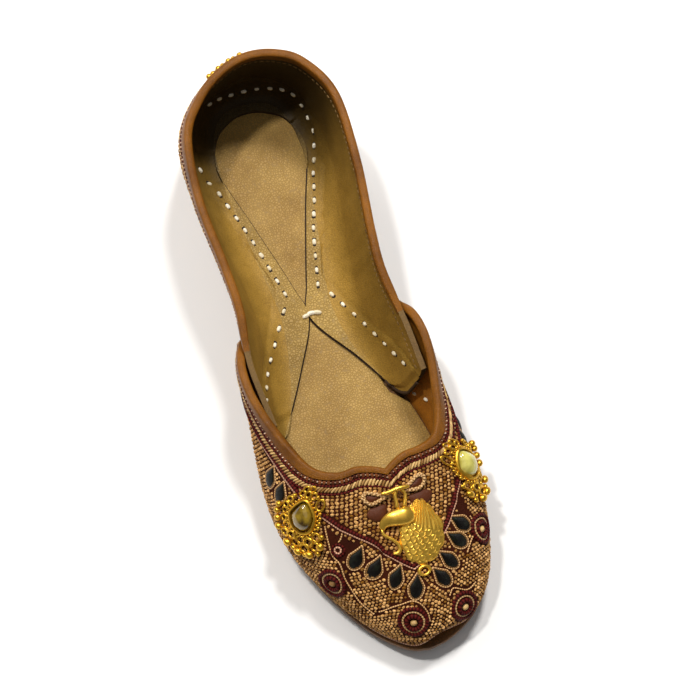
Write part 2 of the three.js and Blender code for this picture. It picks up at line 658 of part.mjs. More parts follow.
const MATERIALS = {
  soleLeather: new THREE.MeshStandardMaterial({ color: 0x8a5a33, roughness: 0.65 }),
  liningLeather: new THREE.MeshStandardMaterial({ color: 0xa8874a, roughness: 0.55 }),
  brocade: new THREE.MeshStandardMaterial({ color: 0x7a3f34, roughness: 0.75 }),
  bindingLeather: new THREE.MeshStandardMaterial({ color: 0x84481f, roughness: 0.45 }),
  giltMetal: new THREE.MeshStandardMaterial({ color: 0xd8ae3c, roughness: 0.3, metalness: 1 }),
  stone: new THREE.MeshStandardMaterial({ color: 0xc9b860, roughness: 0.15 }),
  satin: new THREE.MeshStandardMaterial({ color: 0xb98a6a, roughness: 0.5 }),
};

function piece(name, geometry, material) {
  const mesh = new THREE.Mesh(geometry, material);
  mesh.name = name;
  return mesh;
}

const shoe = new THREE.Group();
shoe.add(
  piece("outsole", outsoleGeometry(), MATERIALS.soleLeather),
  piece("insole", insoleGeometry(), MATERIALS.liningLeather),
  piece("upper_vamp", vampGeometry(), MATERIALS.brocade),
  piece("upper_quarter", quarterGeometry(), MATERIALS.liningLeather),
  piece("vamp_binding", vampBindingGeometry(), MATERIALS.bindingLeather),
  piece("quarter_binding", quarterBindingGeometry(), MATERIALS.bindingLeather),
  piece("bow", layOnWall(vampFrame, bowGeometry(), BOW), MATERIALS.satin),
  piece("pendant", layOnWall(vampFrame, pendantGeometry(), PENDANT), MATERIALS.giltMetal),
  piece("jewel_medial", layOnWall(vampFrame, jewelGeometry(), JEWEL_MEDIAL), MATERIALS.giltMetal),
  piece("stone_medial", layOnWall(vampFrame, stoneGeometry(), JEWEL_MEDIAL), MATERIALS.stone),
  piece("jewel_lateral", layOnWall(vampFrame, jewelGeometry(), JEWEL_LATERAL), MATERIALS.giltMetal),
  piece("stone_lateral", layOnWall(vampFrame, stoneGeometry(), JEWEL_LATERAL), MATERIALS.stone),
  piece("heel_beads", layOnWall(quarterFrame, heelBeadsGeometry(), HEEL_BEADS), MATERIALS.giltMetal),
);

// The origin is under the middle of the whole shoe, on the floor.
const extent = new THREE.Box3().setFromObject(shoe);
const middle = extent.getCenter(new THREE.Vector3());
shoe.position.set(-middle.x, -middle.y, 0);

export default shoe;
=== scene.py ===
# A right-foot mojari: leather sole and lining, an embroidered vamp, rolled bindings, hand stitches and gilt
# jewels sewn on. Metres, +Z up; the medial side is +X, the toe points to -Y and the shoe stands on z = 0.
import math
import bmesh
import bpy
import numpy as np
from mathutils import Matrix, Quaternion, Vector
from mathutils.bvhtree import BVHTree
from mathutils.kdtree import KDTree


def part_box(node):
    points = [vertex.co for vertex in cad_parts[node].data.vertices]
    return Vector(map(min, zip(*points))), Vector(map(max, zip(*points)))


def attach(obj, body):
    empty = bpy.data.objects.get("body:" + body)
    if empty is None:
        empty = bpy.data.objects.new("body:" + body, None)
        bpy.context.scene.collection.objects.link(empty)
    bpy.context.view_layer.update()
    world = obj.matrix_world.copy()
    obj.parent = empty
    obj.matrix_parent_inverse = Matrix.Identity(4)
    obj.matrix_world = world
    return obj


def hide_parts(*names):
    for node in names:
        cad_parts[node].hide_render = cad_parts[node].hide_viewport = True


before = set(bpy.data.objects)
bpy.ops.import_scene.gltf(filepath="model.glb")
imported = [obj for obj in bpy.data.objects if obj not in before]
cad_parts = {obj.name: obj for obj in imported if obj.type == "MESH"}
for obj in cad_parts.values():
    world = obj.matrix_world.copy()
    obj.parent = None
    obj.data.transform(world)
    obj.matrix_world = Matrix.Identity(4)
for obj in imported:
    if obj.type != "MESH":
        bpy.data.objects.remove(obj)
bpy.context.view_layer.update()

# Outsole
# One slab of vegetable-tanned leather with a low heel, its edge waxed and burnished. The upper is sewn down
# on it, and its top shows only as a narrow rim round the toe.
MM = 0.001
SHOE_LENGTH = 250 * MM
OUTSOLE_THICKNESS = 4.5 * MM
HEEL_LIFT = 4 * MM
HEEL_END = 56 * MM
HEEL_BREAST = 1.5 * MM
FOREFOOT_START = 138 * MM
SPRING_START = 205 * MM
TOE_SPRING = 5 * MM
SOLE_EDGE_ROUND = 1 * MM
CLEARANCE = 0.3 * MM
SOLE_STATIONS = 110
OUTLINE_SAMPLES = 2201
SIDE_SAMPLES = 1200
EDGE_STEPS = 5
CAP_STEPS = 10
MERGE_DISTANCE = 1e-7
SHARP_ANGLE = math.radians(50)
# Corners of the sole's outline as (across, along): heel's back, medial side, toe, lateral side.
SOLE_OUTLINE = MM * np.array([
    (-1.5, 1), (14.5, 5.5), (23.5, 20), (25.5, 42), (22, 72), (20.5, 100), (26, 130), (35.3, 165),
    (38.4, 196), (35.4, 224), (26, 240.5), (5.5, 249), (-10.5, 240.5), (-25, 220), (-35.3, 193),
    (-36, 165), (-28.5, 130), (-24.5, 100), (-26, 72), (-28.5, 42), (-26.5, 20), (-17.5, 5.5),
])
HEEL_CORNER = 0
TOE_CORNER = 11


def smoothstep(value, low, high):
    share = np.clip((value - low) / (high - low), 0, 1)
    return share * share * (3 - 2 * share)


def unit(vectors):
    return vectors / np.maximum(np.linalg.norm(vectors, axis=-1, keepdims=True), 1e-12)


def curve_through(a, b, c, d, share):
    """A smooth value between b and c, led by their neighbours a and d."""
    bend = 2 * a - 5 * b + 4 * c - d + share * (3 * (b - c) + d - a)
    return b + 0.5 * share * (c - a + share * bend)


def outline_corner(corner):
    index = np.floor(corner).astype(int)
    count = len(SOLE_OUTLINE)
    a, b, c, d = (SOLE_OUTLINE[(index + step) % count] for step in (-1, 0, 1, 2))
    return curve_through(a, b, c, d, (corner - index)[..., None])


def middle_of(low, high):
    return (np.array(low) + np.array(high)) / 2


outline_samples = outline_corner(np.linspace(0, len(SOLE_OUTLINE), OUTLINE_SAMPLES))
outline_middle = middle_of(outline_samples.min(0), outline_samples.max(0))
outsole_middle = middle_of(*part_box("outsole"))
ORIGIN_ACROSS = outsole_middle[0] - outline_middle[0]
ORIGIN_ALONG = outsole_middle[1] + outline_middle[1]


def in_plan(across, along):
    return np.stack([across + ORIGIN_ACROSS, ORIGIN_ALONG - along], -1)


def along_of(y):
    return ORIGIN_ALONG - y


def outline_at(corner, inset):
    """Plan position on the sole's outline moved inwards, and the outward direction there."""
    corner = np.asarray(corner, float)
    tiny = 1e-4
    here = in_plan(*np.moveaxis(outline_corner(corner), -1, 0))
    ahead = in_plan(*np.moveaxis(outline_corner(corner + tiny), -1, 0))
    travel = unit(ahead - here)
    outward = np.stack([-travel[..., 1], travel[..., 0]], -1)
    return here - outward * np.asarray(inset)[..., None], outward


def sole_lift(along):
    waist = HEEL_LIFT * (1 - smoothstep(along, HEEL_END, FOREFOOT_START))
    spring = np.maximum(0, (along - SPRING_START) / (SHOE_LENGTH - SPRING_START))
    return waist + TOE_SPRING * spring ** 2


def sole_top(along):
    return sole_lift(along) + OUTSOLE_THICKNESS


def mesh_object(name, vertices, faces, *materials, kinds=None):
    """A smooth mesh object whose doubles are merged and whose faces point outwards."""
    mesh = bpy.data.meshes.new(name)
    mesh.from_pydata(np.asarray(vertices).tolist(), [], [list(map(int, face)) for face in faces])
    if kinds is not None:
        mesh.polygons.foreach_set("material_index", np.asarray(kinds, np.int32))
    shell = bmesh.new()
    shell.from_mesh(mesh)
    bmesh.ops.remove_doubles(shell, verts=shell.verts, dist=MERGE_DISTANCE)
    bmesh.ops.recalc_face_normals(shell, faces=shell.faces)
    shell.to_mesh(mesh)
    shell.free()
    mesh.shade_smooth()
    mesh.set_sharp_from_angle(angle=SHARP_ANGLE)
    for material in materials:
        mesh.materials.append(material)
    made = bpy.data.objects.new(name, mesh)
    bpy.context.scene.collection.objects.link(made)
    return made


def keep(piece, slot, *nodes):
    """Fastens a finished piece to the shoe's body in place of its CAD nodes, which are hidden; the slot is
    not used.
    """
    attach(piece, "root")
    if nodes:
        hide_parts(*nodes)


def loft_faces(sections, size, closed=True):
    """Quads between sections of the same number of points, each section a closed or an open line."""
    index = np.arange(sections * size).reshape(sections, size)
    beside = np.roll(index, -1, axis=1)
    quads = np.stack([index[:-1], beside[:-1], beside[1:], index[1:]], -1)
    return (quads if closed else quads[:, :-1]).reshape(-1, 4).tolist()


def side_line(stations, inset, heel_corner):
    """Points of one side of the inset outline at distances along the shoe."""
    corners = np.linspace(heel_corner, TOE_CORNER, SIDE_SAMPLES)
    position, _ = outline_at(corners, inset)
    along = np.maximum.accumulate(along_of(position[:, 1]))
    return in_plan(np.interp(stations, along, position[:, 0]) - ORIGIN_ACROSS, stations)


def slab_ring(stations, inset, height):
    """One closed ring of a sole-shaped slab: heel's back, medial side, toe's tip, lateral side."""
    ends, _ = outline_at(np.array([HEEL_CORNER, TOE_CORNER], float), np.array([inset, inset]))
    medial = side_line(stations, inset, HEEL_CORNER)
    lateral = side_line(stations, inset, len(SOLE_OUTLINE))
    ring = np.vstack([ends[:1], medial, ends[1:], lateral[::-1]])
    return np.column_stack([ring, height(along_of(ring[:, 1]))])


def slab_cap(ring, height, steps=CAP_STEPS):
    """A face that fills a slab's ring with rungs from side to side."""
    count = (len(ring) - 2) // 2
    medial, lateral = ring[1:count + 1], ring[:count + 1:-1]
    share = np.linspace(0, 1, steps + 1)[:, None, None]
    rungs = medial + share * (lateral - medial)
    rungs[..., 2] = height(along_of(rungs[..., 1]), share[..., 0])
    vertices = np.vstack([rungs.reshape(-1, 3), ring[:1], ring[count + 1:count + 2]])
    faces = loft_faces(steps + 1, count, closed=False)
    heel, toe = len(vertices) - 2, len(vertices) - 1
    for step in range(steps):
        faces.append([heel, step * count, (step + 1) * count])
        faces.append([toe, (step + 1) * count - 1, (step + 2) * count - 1])
    return vertices, faces


def joined(parts):
    """One list of vertices and one of faces from several."""
    vertices, faces, count = [], [], 0
    for part_vertices, part_faces in parts:
        vertices.append(np.asarray(part_vertices))
        faces.extend([[index + count for index in face] for face in part_faces])
        count += len(part_vertices)
    return np.vstack(vertices), faces


def slab_solid(rings, bottom, top, top_steps=CAP_STEPS):
    """A slab from its rings, with a face below and a face above at the heights given."""
    side = (np.vstack(rings), loft_faces(len(rings), len(rings[0])))
    return joined([side, slab_cap(rings[0], bottom), slab_cap(rings[-1], top, top_steps)])


def slab_stations(inset, extra=()):
    back, front = (along_of(outline_at(corner, inset)[0][1]) for corner in (HEEL_CORNER, TOE_CORNER))
    share = (1 - np.cos(np.pi * np.arange(1, SOLE_STATIONS) / SOLE_STATIONS)) / 2
    return np.sort(np.concatenate([back + (front - back) * share, extra]))


def new_material(name, **values):
    """A material with a plain Principled shader, and its tree."""
    material = bpy.data.materials.new(name)
    material.use_nodes = True
    shader = material.node_tree.nodes["Principled BSDF"]
    for socket, value in values.items():
        shader.inputs[socket.replace("_", " ").title().replace("Ior", "IOR")].default_value = value
    return material, material.node_tree, shader


def node(tree, kind, inputs=None, **settings):
    """Adds a node, with its settings and with values or links for its inputs."""
    made = tree.nodes.new(kind)
    for setting, value in settings.items():
        setattr(made, setting, value)
    for socket, value in (inputs or {}).items():
        if isinstance(value, bpy.types.NodeSocket):
            tree.links.new(value, made.inputs[socket])
        else:
            made.inputs[socket].default_value = value
    return made


def math_node(tree, operation, *values):
    return node(tree, "ShaderNodeMath", dict(enumerate(values)), operation=operation).outputs[0]


def mix_colour(tree, share, first, second, **settings):
    mixed = node(tree, "ShaderNodeMix", {0: share, 6: first, 7: second}, data_type="RGBA", **settings)
    return mixed.outputs[2]


def noise(tree, scale, detail):
    """Noise in the shoe's own space."""
    place = node(tree, "ShaderNodeTexCoord").outputs["Object"]
    made = node(tree, "ShaderNodeTexNoise", {"Vector": place, "Scale": scale, "Detail": detail})
    return made.outputs["Fac"]


def ramp(tree, value, low, high, least=0.0, most=1.0, **settings):
    """A value stretched from its own low and high to a least and a most."""
    return node(tree, "ShaderNodeMapRange", {
        "Value": value, "From Min": low, "From Max": high, "To Min": least, "To Max": most},
        **settings).outputs["Result"]


def add_bump(tree, shader, height, strength, distance):
    bump = node(tree, "ShaderNodeBump", {"Height": height, "Strength": strength, "Distance": distance})
    tree.links.new(bump.outputs["Normal"], shader.inputs["Normal"])


def new_group(name, inputs, outputs):
    """A shader node group with named number inputs and outputs."""
    group = bpy.data.node_groups.new(name, "ShaderNodeTree")
    for socket in inputs:
        group.interface.new_socket(socket, in_out="INPUT", socket_type="NodeSocketFloat")
    for socket in outputs:
        group.interface.new_socket(socket, in_out="OUTPUT", socket_type="NodeSocketFloat")
    return group, group.nodes.new("NodeGroupInput"), group.nodes.new("NodeGroupOutput")


def leather_grain_group():
    """Pebbles between fine creases, wider mottling, and a mask of small rubbed spots."""
    group, given, result = new_group("leather grain", ["Pebbles"], ["Height", "Tone", "Rubbed"])
    place = node(group, "ShaderNodeTexCoord").outputs["Object"]
    wander = node(group, "ShaderNodeTexNoise", {"Vector": place, "Scale": 300.0, "Detail": 2.0})
    drift = node(group, "ShaderNodeVectorMath", {0: wander.outputs["Color"], 3: 0.0012}, operation="SCALE")
    moved = node(group, "ShaderNodeVectorMath", {0: place, 1: drift.outputs[0]}, operation="ADD").outputs[0]
    pebbles = node(group, "ShaderNodeTexVoronoi", {"Vector": moved, "Scale": given.outputs["Pebbles"]},
                   feature="DISTANCE_TO_EDGE").outputs["Distance"]
    domed = ramp(group, pebbles, 0.0, 0.22, interpolation_type="SMOOTHSTEP")
    height = math_node(group, "MULTIPLY_ADD", noise(group, scale=2600.0, detail=3.0), 0.35, domed)
    mottle = node(group, "ShaderNodeTexNoise", {
        "Vector": place, "Scale": 60.0, "Detail": 5.0, "Roughness": 0.6}).outputs["Fac"]
    rubbed = ramp(group, noise(group, scale=170.0, detail=6.0), 0.56, 0.72)
    group.links.new(height, result.inputs["Height"])
    group.links.new(mottle, result.inputs["Tone"])
    group.links.new(rubbed, result.inputs["Rubbed"])
    return group


LEATHER_GRAIN = leather_grain_group()


def leather(name, dark, light, pebbles, depth, rubbed, **values):
    """Dyed leather: mottled between two colours, rubbed lighter in spots, with painted shade in its grain's
    creases and its grain as a bump.
    """
    material, tree, shader = new_material(name, **values)
    grain = node(tree, "ShaderNodeGroup", node_tree=LEATHER_GRAIN)
    grain.inputs["Pebbles"].default_value = pebbles
    ground = mix_colour(tree, ramp(tree, grain.outputs["Tone"], 0.3, 0.7), dark, light)
    worn = math_node(tree, "MULTIPLY", grain.outputs["Rubbed"], rubbed)
    pale = mix_colour(tree, worn, ground, tuple(min(1, 1.5 * part) for part in light[:3]) + (1,))
    # Painted shade: the colour is darkened where the grain is low, in its creases.
    painted_crease_shade = math_node(tree, "MULTIPLY_ADD", grain.outputs["Height"], 0.3, 0.7)
    shaded = mix_colour(tree, 1.0, pale, painted_crease_shade, blend_type="MULTIPLY")
    tree.links.new(shaded, shader.inputs["Base Color"])
    add_bump(tree, shader, grain.outputs["Height"], strength=0.6, distance=depth)
    return material


def outsole_bottom(along, _share=0):
    return np.where(along < HEEL_END, 0, sole_lift(along))


def outsole_mesh():
    stations = slab_stations(SOLE_EDGE_ROUND, [HEEL_END - HEEL_BREAST / 2, HEEL_END + HEEL_BREAST / 2])
    turn = np.linspace(0, np.pi / 2, EDGE_STEPS)
    lower = [(SOLE_EDGE_ROUND * (1 - np.sin(a)), SOLE_EDGE_ROUND * (1 - np.cos(a))) for a in turn]
    rings = [slab_ring(stations, inset, lambda along, up=up: outsole_bottom(along) + up)
             for inset, up in lower]
    rings += [slab_ring(stations, inset, lambda along, down=up: sole_top(along) - down)
              for inset, up in lower[::-1]]
    return slab_solid(rings, outsole_bottom, lambda along, share: sole_top(along))


sole_leather = leather("sole leather", (0.1, 0.04, 0.008, 1), (0.21, 0.09, 0.02, 1),
                       pebbles=700, depth=0.00012, rubbed=0.2, roughness=0.55, specular_ior_level=0.3)
keep(mesh_object("outsole_leather", *outsole_mesh(), sole_leather), "sole_leather", "outsole")

# Insole
# A footbed of soft tan leather with a pebbled grain, glued on the outsole inside the walls. It is a little
# fuller along its middle, narrow at the waist and drawn in at its tip.
INSOLE_THICKNESS = 2 * MM
INSOLE_INSET_HEEL = 5.4 * MM
INSOLE_INSET_WAIST = 8.6 * MM
INSOLE_INSET_TOE = 4.2 * MM
INSOLE_INSET_TIP = 6.6 * MM
INSOLE_WAIST_MEDIAL = MM * np.array([56, 120, 145.5, 150.5])
INSOLE_WAIST_LATERAL = MM * np.array([56, 120, 149.5, 157])
INSOLE_TIP = MM * np.array([222, 238])
INSOLE_CROWN = 0.35 * MM
INSOLE_EDGE = 0.5 * MM
INSOLE_LIP = 0.3 * INSOLE_EDGE
INSOLE_RUNGS = 14


def insole_top(along):
    return sole_top(along) + CLEARANCE + INSOLE_THICKNESS


def insole_inset(along, waist):
    start, full, end, wide = waist
    narrowed = (INSOLE_INSET_WAIST - INSOLE_INSET_HEEL) * smoothstep(along, start, full)
    widened = (INSOLE_INSET_WAIST - INSOLE_INSET_TOE) * smoothstep(along, end, wide)
    drawn_in = (INSOLE_INSET_TIP - INSOLE_INSET_TOE) * smoothstep(along, *INSOLE_TIP)
    return INSOLE_INSET_HEEL + narrowed - widened + drawn_in


def insole_ring(stations, extra_inset, height):
    """A ring like the sole's whose sides stand further in along the waist."""
    ends, _ = outline_at(np.array([HEEL_CORNER, TOE_CORNER], float),
                         np.array([INSOLE_INSET_HEEL, INSOLE_INSET_TIP]) + extra_inset)
    sides = []
    lateral_heel = len(SOLE_OUTLINE)
    for heel_corner, waist in ((HEEL_CORNER, INSOLE_WAIST_MEDIAL), (lateral_heel, INSOLE_WAIST_LATERAL)):
        lines = [side_line(stations, inset, heel_corner) for inset in (INSOLE_INSET_TOE, INSOLE_INSET_WAIST)]
        inset = insole_inset(stations, waist) + extra_inset
        share = (inset - INSOLE_INSET_TOE) / (INSOLE_INSET_WAIST - INSOLE_INSET_TOE)
        sides.append(lines[0] + share[:, None] * (lines[1] - lines[0]))
    ring = np.vstack([ends[:1], sides[0], ends[1:], sides[1][::-1]])
    return np.column_stack([ring, height(along_of(ring[:, 1]))])


def insole_face(along, share):
    """The top face, a little fuller along its middle."""
    return insole_top(along) + INSOLE_CROWN * 4 * share * (1 - share) * np.ones_like(along)


def insole_mesh():
    stations = slab_stations(INSOLE_INSET_TIP + INSOLE_EDGE)
    rings = [
        insole_ring(stations, 0, lambda along: sole_top(along) + CLEARANCE),
        insole_ring(stations, 0, lambda along: insole_top(along) - INSOLE_EDGE),
        insole_ring(stations, INSOLE_LIP, lambda along: insole_top(along) - INSOLE_LIP),
        insole_ring(stations, INSOLE_EDGE, insole_top),
    ]
    return slab_solid(rings, lambda along, share: sole_top(along) + CLEARANCE, insole_face, INSOLE_RUNGS)


insole_leather = leather("insole leather", (0.3, 0.17, 0.036, 1), (0.44, 0.272, 0.07, 1),
                         pebbles=1000, depth=0.0002, rubbed=0.15, roughness=0.52, specular_ior_level=0.3)
keep(mesh_object("insole_footbed", *insole_mesh(), insole_leather), "insole_leather", "insole")

# Quarter
# The back and sides of the upper: brocade outside, smooth tan leather inside, turned in at the bottom as two
# flaps that meet at the waist and are sewn down over the insole.
WALL = 2.2 * MM
FLAP_THICKNESS = 1.2 * MM
FLAP_FILLET = 5 * MM
QUARTER_LEVELS = 36
STATIONS_PER_STRIP = 16
# Strips from the lateral front round the heel to the medial front: foot as a corner of the sole's outline,
# then in mm across, along, height, rise, belly, over, drop, inset, flap across, flap along.
QUARTER_STRIPS = np.array([
    (15.3, -30.9, 154, 34.5, 9, 4, 1, 10, 5.8, -25.4, 153),
    (16, -33.6, 129, 41.5, 9, 5, 1, 11, 5.6, -11.5, 128),
    (16.7, -31.8, 108, 46, 10, 5.5, 1, 12, 5, -1.8, 107),
    (17.4, -32.6, 91, 48.5, 10, 6, 1, 12, 3.4, -4.6, 92),
    (18.3, -35, 62, 52.5, 11, 6, 2.2, 13, 2, -13.2, 62),
    (19.2, -32.2, 36, 55.5, 12, 7, 6, 14, 2, -20, 37),
    (20.2, -23.3, 21.8, 56.8, 13, 5.5, 5.5, 15, 2, -16.5, 22.5),
    (21.1, -12.8, 13, 57, 14, 3.5, 1.5, 16, 2, -9, 15.8),
    (22, -0.8, 8.8, 57, 14, 3, 2.5, 16, 2, -1.5, 14),
    (22.9, 11.3, 10.4, 57, 14, 3.5, 1.5, 16, 2, 6.5, 15.8),
    (23.8, 21.8, 17.2, 56.8, 13, 4.5, 0.5, 15, 2, 14, 21.5),
    (24.8, 30.4, 34, 56, 12, 6, 0.5, 14, 2, 18, 36),
    (25.7, 31, 62, 53.5, 11, 6, 1, 13, 2, 10.4, 62),
    (26.6, 28.6, 91, 49, 10, 6, 1, 12, 3.4, 1.9, 92),
    (27.3, 28.2, 108, 46, 10, 5.5, 1, 12, 5, -1, 107),
    (28, 31.4, 129, 41.5, 9, 5, 1, 11, 5.6, 12.5, 127),
    (28.5, 33.3, 148, 36.8, 9, 4, 1, 10, 5.8, 20.5, 139.8),
])
QUARTER_STRIPS[:, 1:] *= MM
QUARTER_LAST = len(QUARTER_STRIPS) - 1
FILLET_STEPS = 11
FLAP_STEPS = 33
WALL_LOWEST_SHARE = 2 / 7
# How far the folded leaf reaches from the flap's edge at each strip.
LEAF_WIDTHS = MM * np.array([28, 22, 18, 7, 6.3, 8.5, 14, 18, 20, 18, 14, 8.5, 6.3, 7, 18, 22, 28])
LEAF_RAISE = 0.55 * MM
LEAF_FADE = 0.4 * MM
CREASE_DEPTH = 0.45 * MM
CREASE_STEP = 0.6 * MM
CREASE_WIDTH = 0.5 * MM
TROUGH_FADE = (2 * MM, 9 * MM)
BINDING_FADE = (2 * MM, 6 * MM)
# Troughs in the lining: place along the quarter, width in places, depth.
LINING_TROUGHS = [(12.15, 0.1, 0.3 * MM), (12.5, 0.08, 0.2 * MM), (13.05, 0.12, 0.35 * MM),
                  (13.5, 0.07, 0.2 * MM), (3.6, 0.12, 0.3 * MM), (4.4, 0.1, 0.25 * MM)]
UP = np.array([0.0, 0.0, 1.0])


def row_at(table, place):
    """Smooth values between the rows of a table."""
    place = np.clip(np.asarray(place, float), 0, len(table) - 1)
    index = np.minimum(place.astype(int), len(table) - 2)
    padded = np.vstack([2 * table[0] - table[1], table, 2 * table[-1] - table[-2]])
    a, b, c, d = (padded[index + step] for step in range(4))
    return curve_through(a, b, c, d, (place - index)[..., None])


def strip_controls(table, place, inset, lift):
    """The four control points of a strip's outer curve, from the sole to the top edge."""
    tiny = 1e-3
    foot, across, along, height, rise, belly, over, drop = np.moveaxis(row_at(table, place)[..., :8], -1, 0)
    travel = row_at(table, place + tiny)[..., 1:3] - row_at(table, place - tiny)[..., 1:3]
    edge_outward = unit(np.stack([travel[..., 1], travel[..., 0]], -1))
    position, outward = outline_at(foot, inset)
    floor = sole_top(along_of(position[..., 1])) + CLEARANCE + lift
    start = np.concatenate([position, floor[..., None]], -1)
    end = np.concatenate([in_plan(across, along), height[..., None]], -1)
    flat = np.zeros_like(outward[..., :1])
    lower = start + np.concatenate([outward * belly[..., None], flat], -1) + rise[..., None] * UP
    upper = end + np.concatenate([edge_outward * over[..., None], flat], -1) - drop[..., None] * UP
    return start, lower, upper, end


def curve_point(controls, share):
    a, b, c, d = controls
    t = np.asarray(share)[..., None]
    return (1 - t) ** 3 * a + 3 * (1 - t) ** 2 * t * b + 3 * (1 - t) * t ** 2 * c + t ** 3 * d


def curve_slope(controls, share):
    a, b, c, d = controls
    t = np.asarray(share)[..., None]
    return unit((1 - t) ** 2 * (b - a) + 2 * (1 - t) * t * (c - b) + t ** 2 * (d - c))


def wall_frames(controls_at, last, place, share):
    """Position, outward normal and upward direction at places along a wall and shares of its height."""
    tiny = 1e-3
    place, share = np.broadcast_arrays(np.asarray(place, float), np.asarray(share, float))
    before = curve_point(controls_at(np.maximum(place - tiny, 0)), share)
    after = curve_point(controls_at(np.minimum(place + tiny, last)), share)
    controls = controls_at(place)
    upward = curve_slope(controls, share)
    normal = unit(np.cross(upward, after - before))
    return curve_point(controls, share), normal, upward


def quarter_controls(place):
    return strip_controls(QUARTER_STRIPS, place, row_at(QUARTER_STRIPS, place)[..., 8], 0)


def quarter_frames(place, share):
    return wall_frames(quarter_controls, QUARTER_LAST, place, share)


def flap_top(plan):
    return insole_top(along_of(plan[..., 1])) + CLEARANCE + FLAP_THICKNESS


def with_height(plan, height):
    return np.concatenate([plan, np.broadcast_to(height, plan.shape[:-1])[..., None]], -1)


def leaf_width(place):
    """How far the folded leaf reaches from the flap's edge: narrow along the heel, wide at both fronts."""
    return np.interp(place, np.arange(len(LEAF_WIDTHS)), LEAF_WIDTHS)


def inner_relief(place, distance):
    """Height of the folded leaf, the crease behind it, and soft troughs where the lining has been bent."""
    edge = leaf_width(place)
    leaf = LEAF_RAISE * (1 - smoothstep(distance, edge - LEAF_FADE, edge + LEAF_FADE))
    crease = CREASE_DEPTH * np.exp(-((distance - edge - CREASE_STEP) / CREASE_WIDTH) ** 2)
    on_wall = smoothstep(distance - edge, *TROUGH_FADE)
    bends = sum(depth * np.exp(-((place - at) / width) ** 2) for at, width, depth in LINING_TROUGHS)
    return leaf - crease - on_wall * bends


def inner_lines(place):
    """The inner face of each section from under the binding down the wall and in to the flap's edge."""
    down = np.linspace(1, WALL_LOWEST_SHARE, QUARTER_LEVELS)
    position, normal, _ = quarter_frames(place[:, None], down[None])
    wall = position - WALL * normal
    foot = quarter_frames(place, np.zeros_like(place))[0][:, :2]
    flap_edge = in_plan(*np.moveaxis(row_at(QUARTER_STRIPS, place)[:, 9:11], -1, 0))
    inward = unit(flap_edge - foot)
    corner = foot + WALL * inward
    bend_end = corner + FLAP_FILLET * inward
    bend = [wall[:, -1], with_height(corner, flap_top(corner)), with_height(bend_end, flap_top(corner))]
    t = np.linspace(0, 1, FILLET_STEPS + 1)[1:, None, None]
    fillet = np.moveaxis((1 - t) ** 2 * bend[0] + 2 * (1 - t) * t * bend[1] + t ** 2 * bend[2], 0, 1)
    share = np.linspace(0, 1, FLAP_STEPS + 1)[1:, None, None]
    plan = np.moveaxis(bend_end + share * (flap_edge - bend_end), 0, 1)
    fall = (flap_top(flap_edge) - flap_top(corner))[:, None]
    flap = with_height(plan, flap_top(corner)[:, None] + share[:, :, 0].T * fall)
    return np.concatenate([wall, fillet, flap], axis=1), corner


def with_relief(line, place):
    """The inner face pushed in and out by its relief, which fades under the binding."""
    steps = np.linalg.norm(np.diff(line, axis=1), axis=-1)
    from_edge = np.cumsum(steps[:, ::-1], axis=1)[:, ::-1]
    from_edge = np.concatenate([from_edge, np.zeros((len(line), 1))], axis=1)
    off_face = unit(np.cross(np.gradient(line, axis=0), np.gradient(line, axis=1)))
    off_face *= np.sign(off_face[:, -2:-1, 2:])
    relief = inner_relief(place[:, None], from_edge)
    under_binding = smoothstep(from_edge[:, :1] - from_edge, *BINDING_FADE)
    return line + (under_binding * relief)[..., None] * off_face


def quarter_sections():
    """Closed sections of the quarter: outer face up, inner face down, flap, and back underneath."""
    place = np.linspace(0, QUARTER_LAST, QUARTER_LAST * STATIONS_PER_STRIP + 1)
    outer, _, _ = quarter_frames(place[:, None], np.linspace(0, 1, QUARTER_LEVELS + 1)[None])
    line, corner = inner_lines(place)
    inner = with_relief(line, place)
    flap_edge = line[:, -1, :2]
    under_edge = with_height(flap_edge, flap_top(flap_edge) - FLAP_THICKNESS)[:, None]
    under_corner = with_height(corner, flap_top(corner) - FLAP_THICKNESS)[:, None]
    corner_foot = with_height(corner, outer[:, 0, 2])[:, None]
    return np.concatenate([outer, inner, under_edge, under_corner, corner_foot], axis=1)


def solid_from_sections(sections):
    count, size = sections.shape[:2]
    last = (count - 1) * size
    faces = loft_faces(count, size)
    faces += [list(range(size)), [last + index for index in range(size)]]
    return sections.reshape(-1, 3), faces


def brocade_ground_group():
    """A fine cloth: two thread directions that cross, with a slow change of dye."""
    group, _, result = new_group("brocade ground", [], ["Height", "Dye"])
    place = node(group, "ShaderNodeTexCoord").outputs["Object"]
    waves = [node(group, "ShaderNodeTexWave", {
        "Vector": place, "Scale": 1500.0, "Distortion": 3.0, "Detail": 1.0, "Detail Scale": 4.0},
        bands_direction=direction).outputs["Fac"] for direction in ("X", "Y")]
    height = math_node(group, "MAXIMUM", *waves)
    group.links.new(height, result.inputs["Height"])
    group.links.new(noise(group, scale=90.0, detail=4.0), result.inputs["Dye"])
    return group


BROCADE_GROUND = brocade_ground_group()


def brocade_cloth():
    """The maroon cloth that the embroidery covers."""
    material, tree, shader = new_material("brocade cloth", roughness=0.85, specular_ior_level=0.08)
    cloth = node(tree, "ShaderNodeGroup", node_tree=BROCADE_GROUND)
    dye = mix_colour(tree, cloth.outputs["Dye"], (0.02, 0.003, 0.002, 1), (0.075, 0.016, 0.005, 1))
    tree.links.new(dye, shader.inputs["Base Color"])
    add_bump(tree, shader, cloth.outputs["Height"], strength=0.5, distance=0.0002)
    return material


brocade = brocade_cloth()


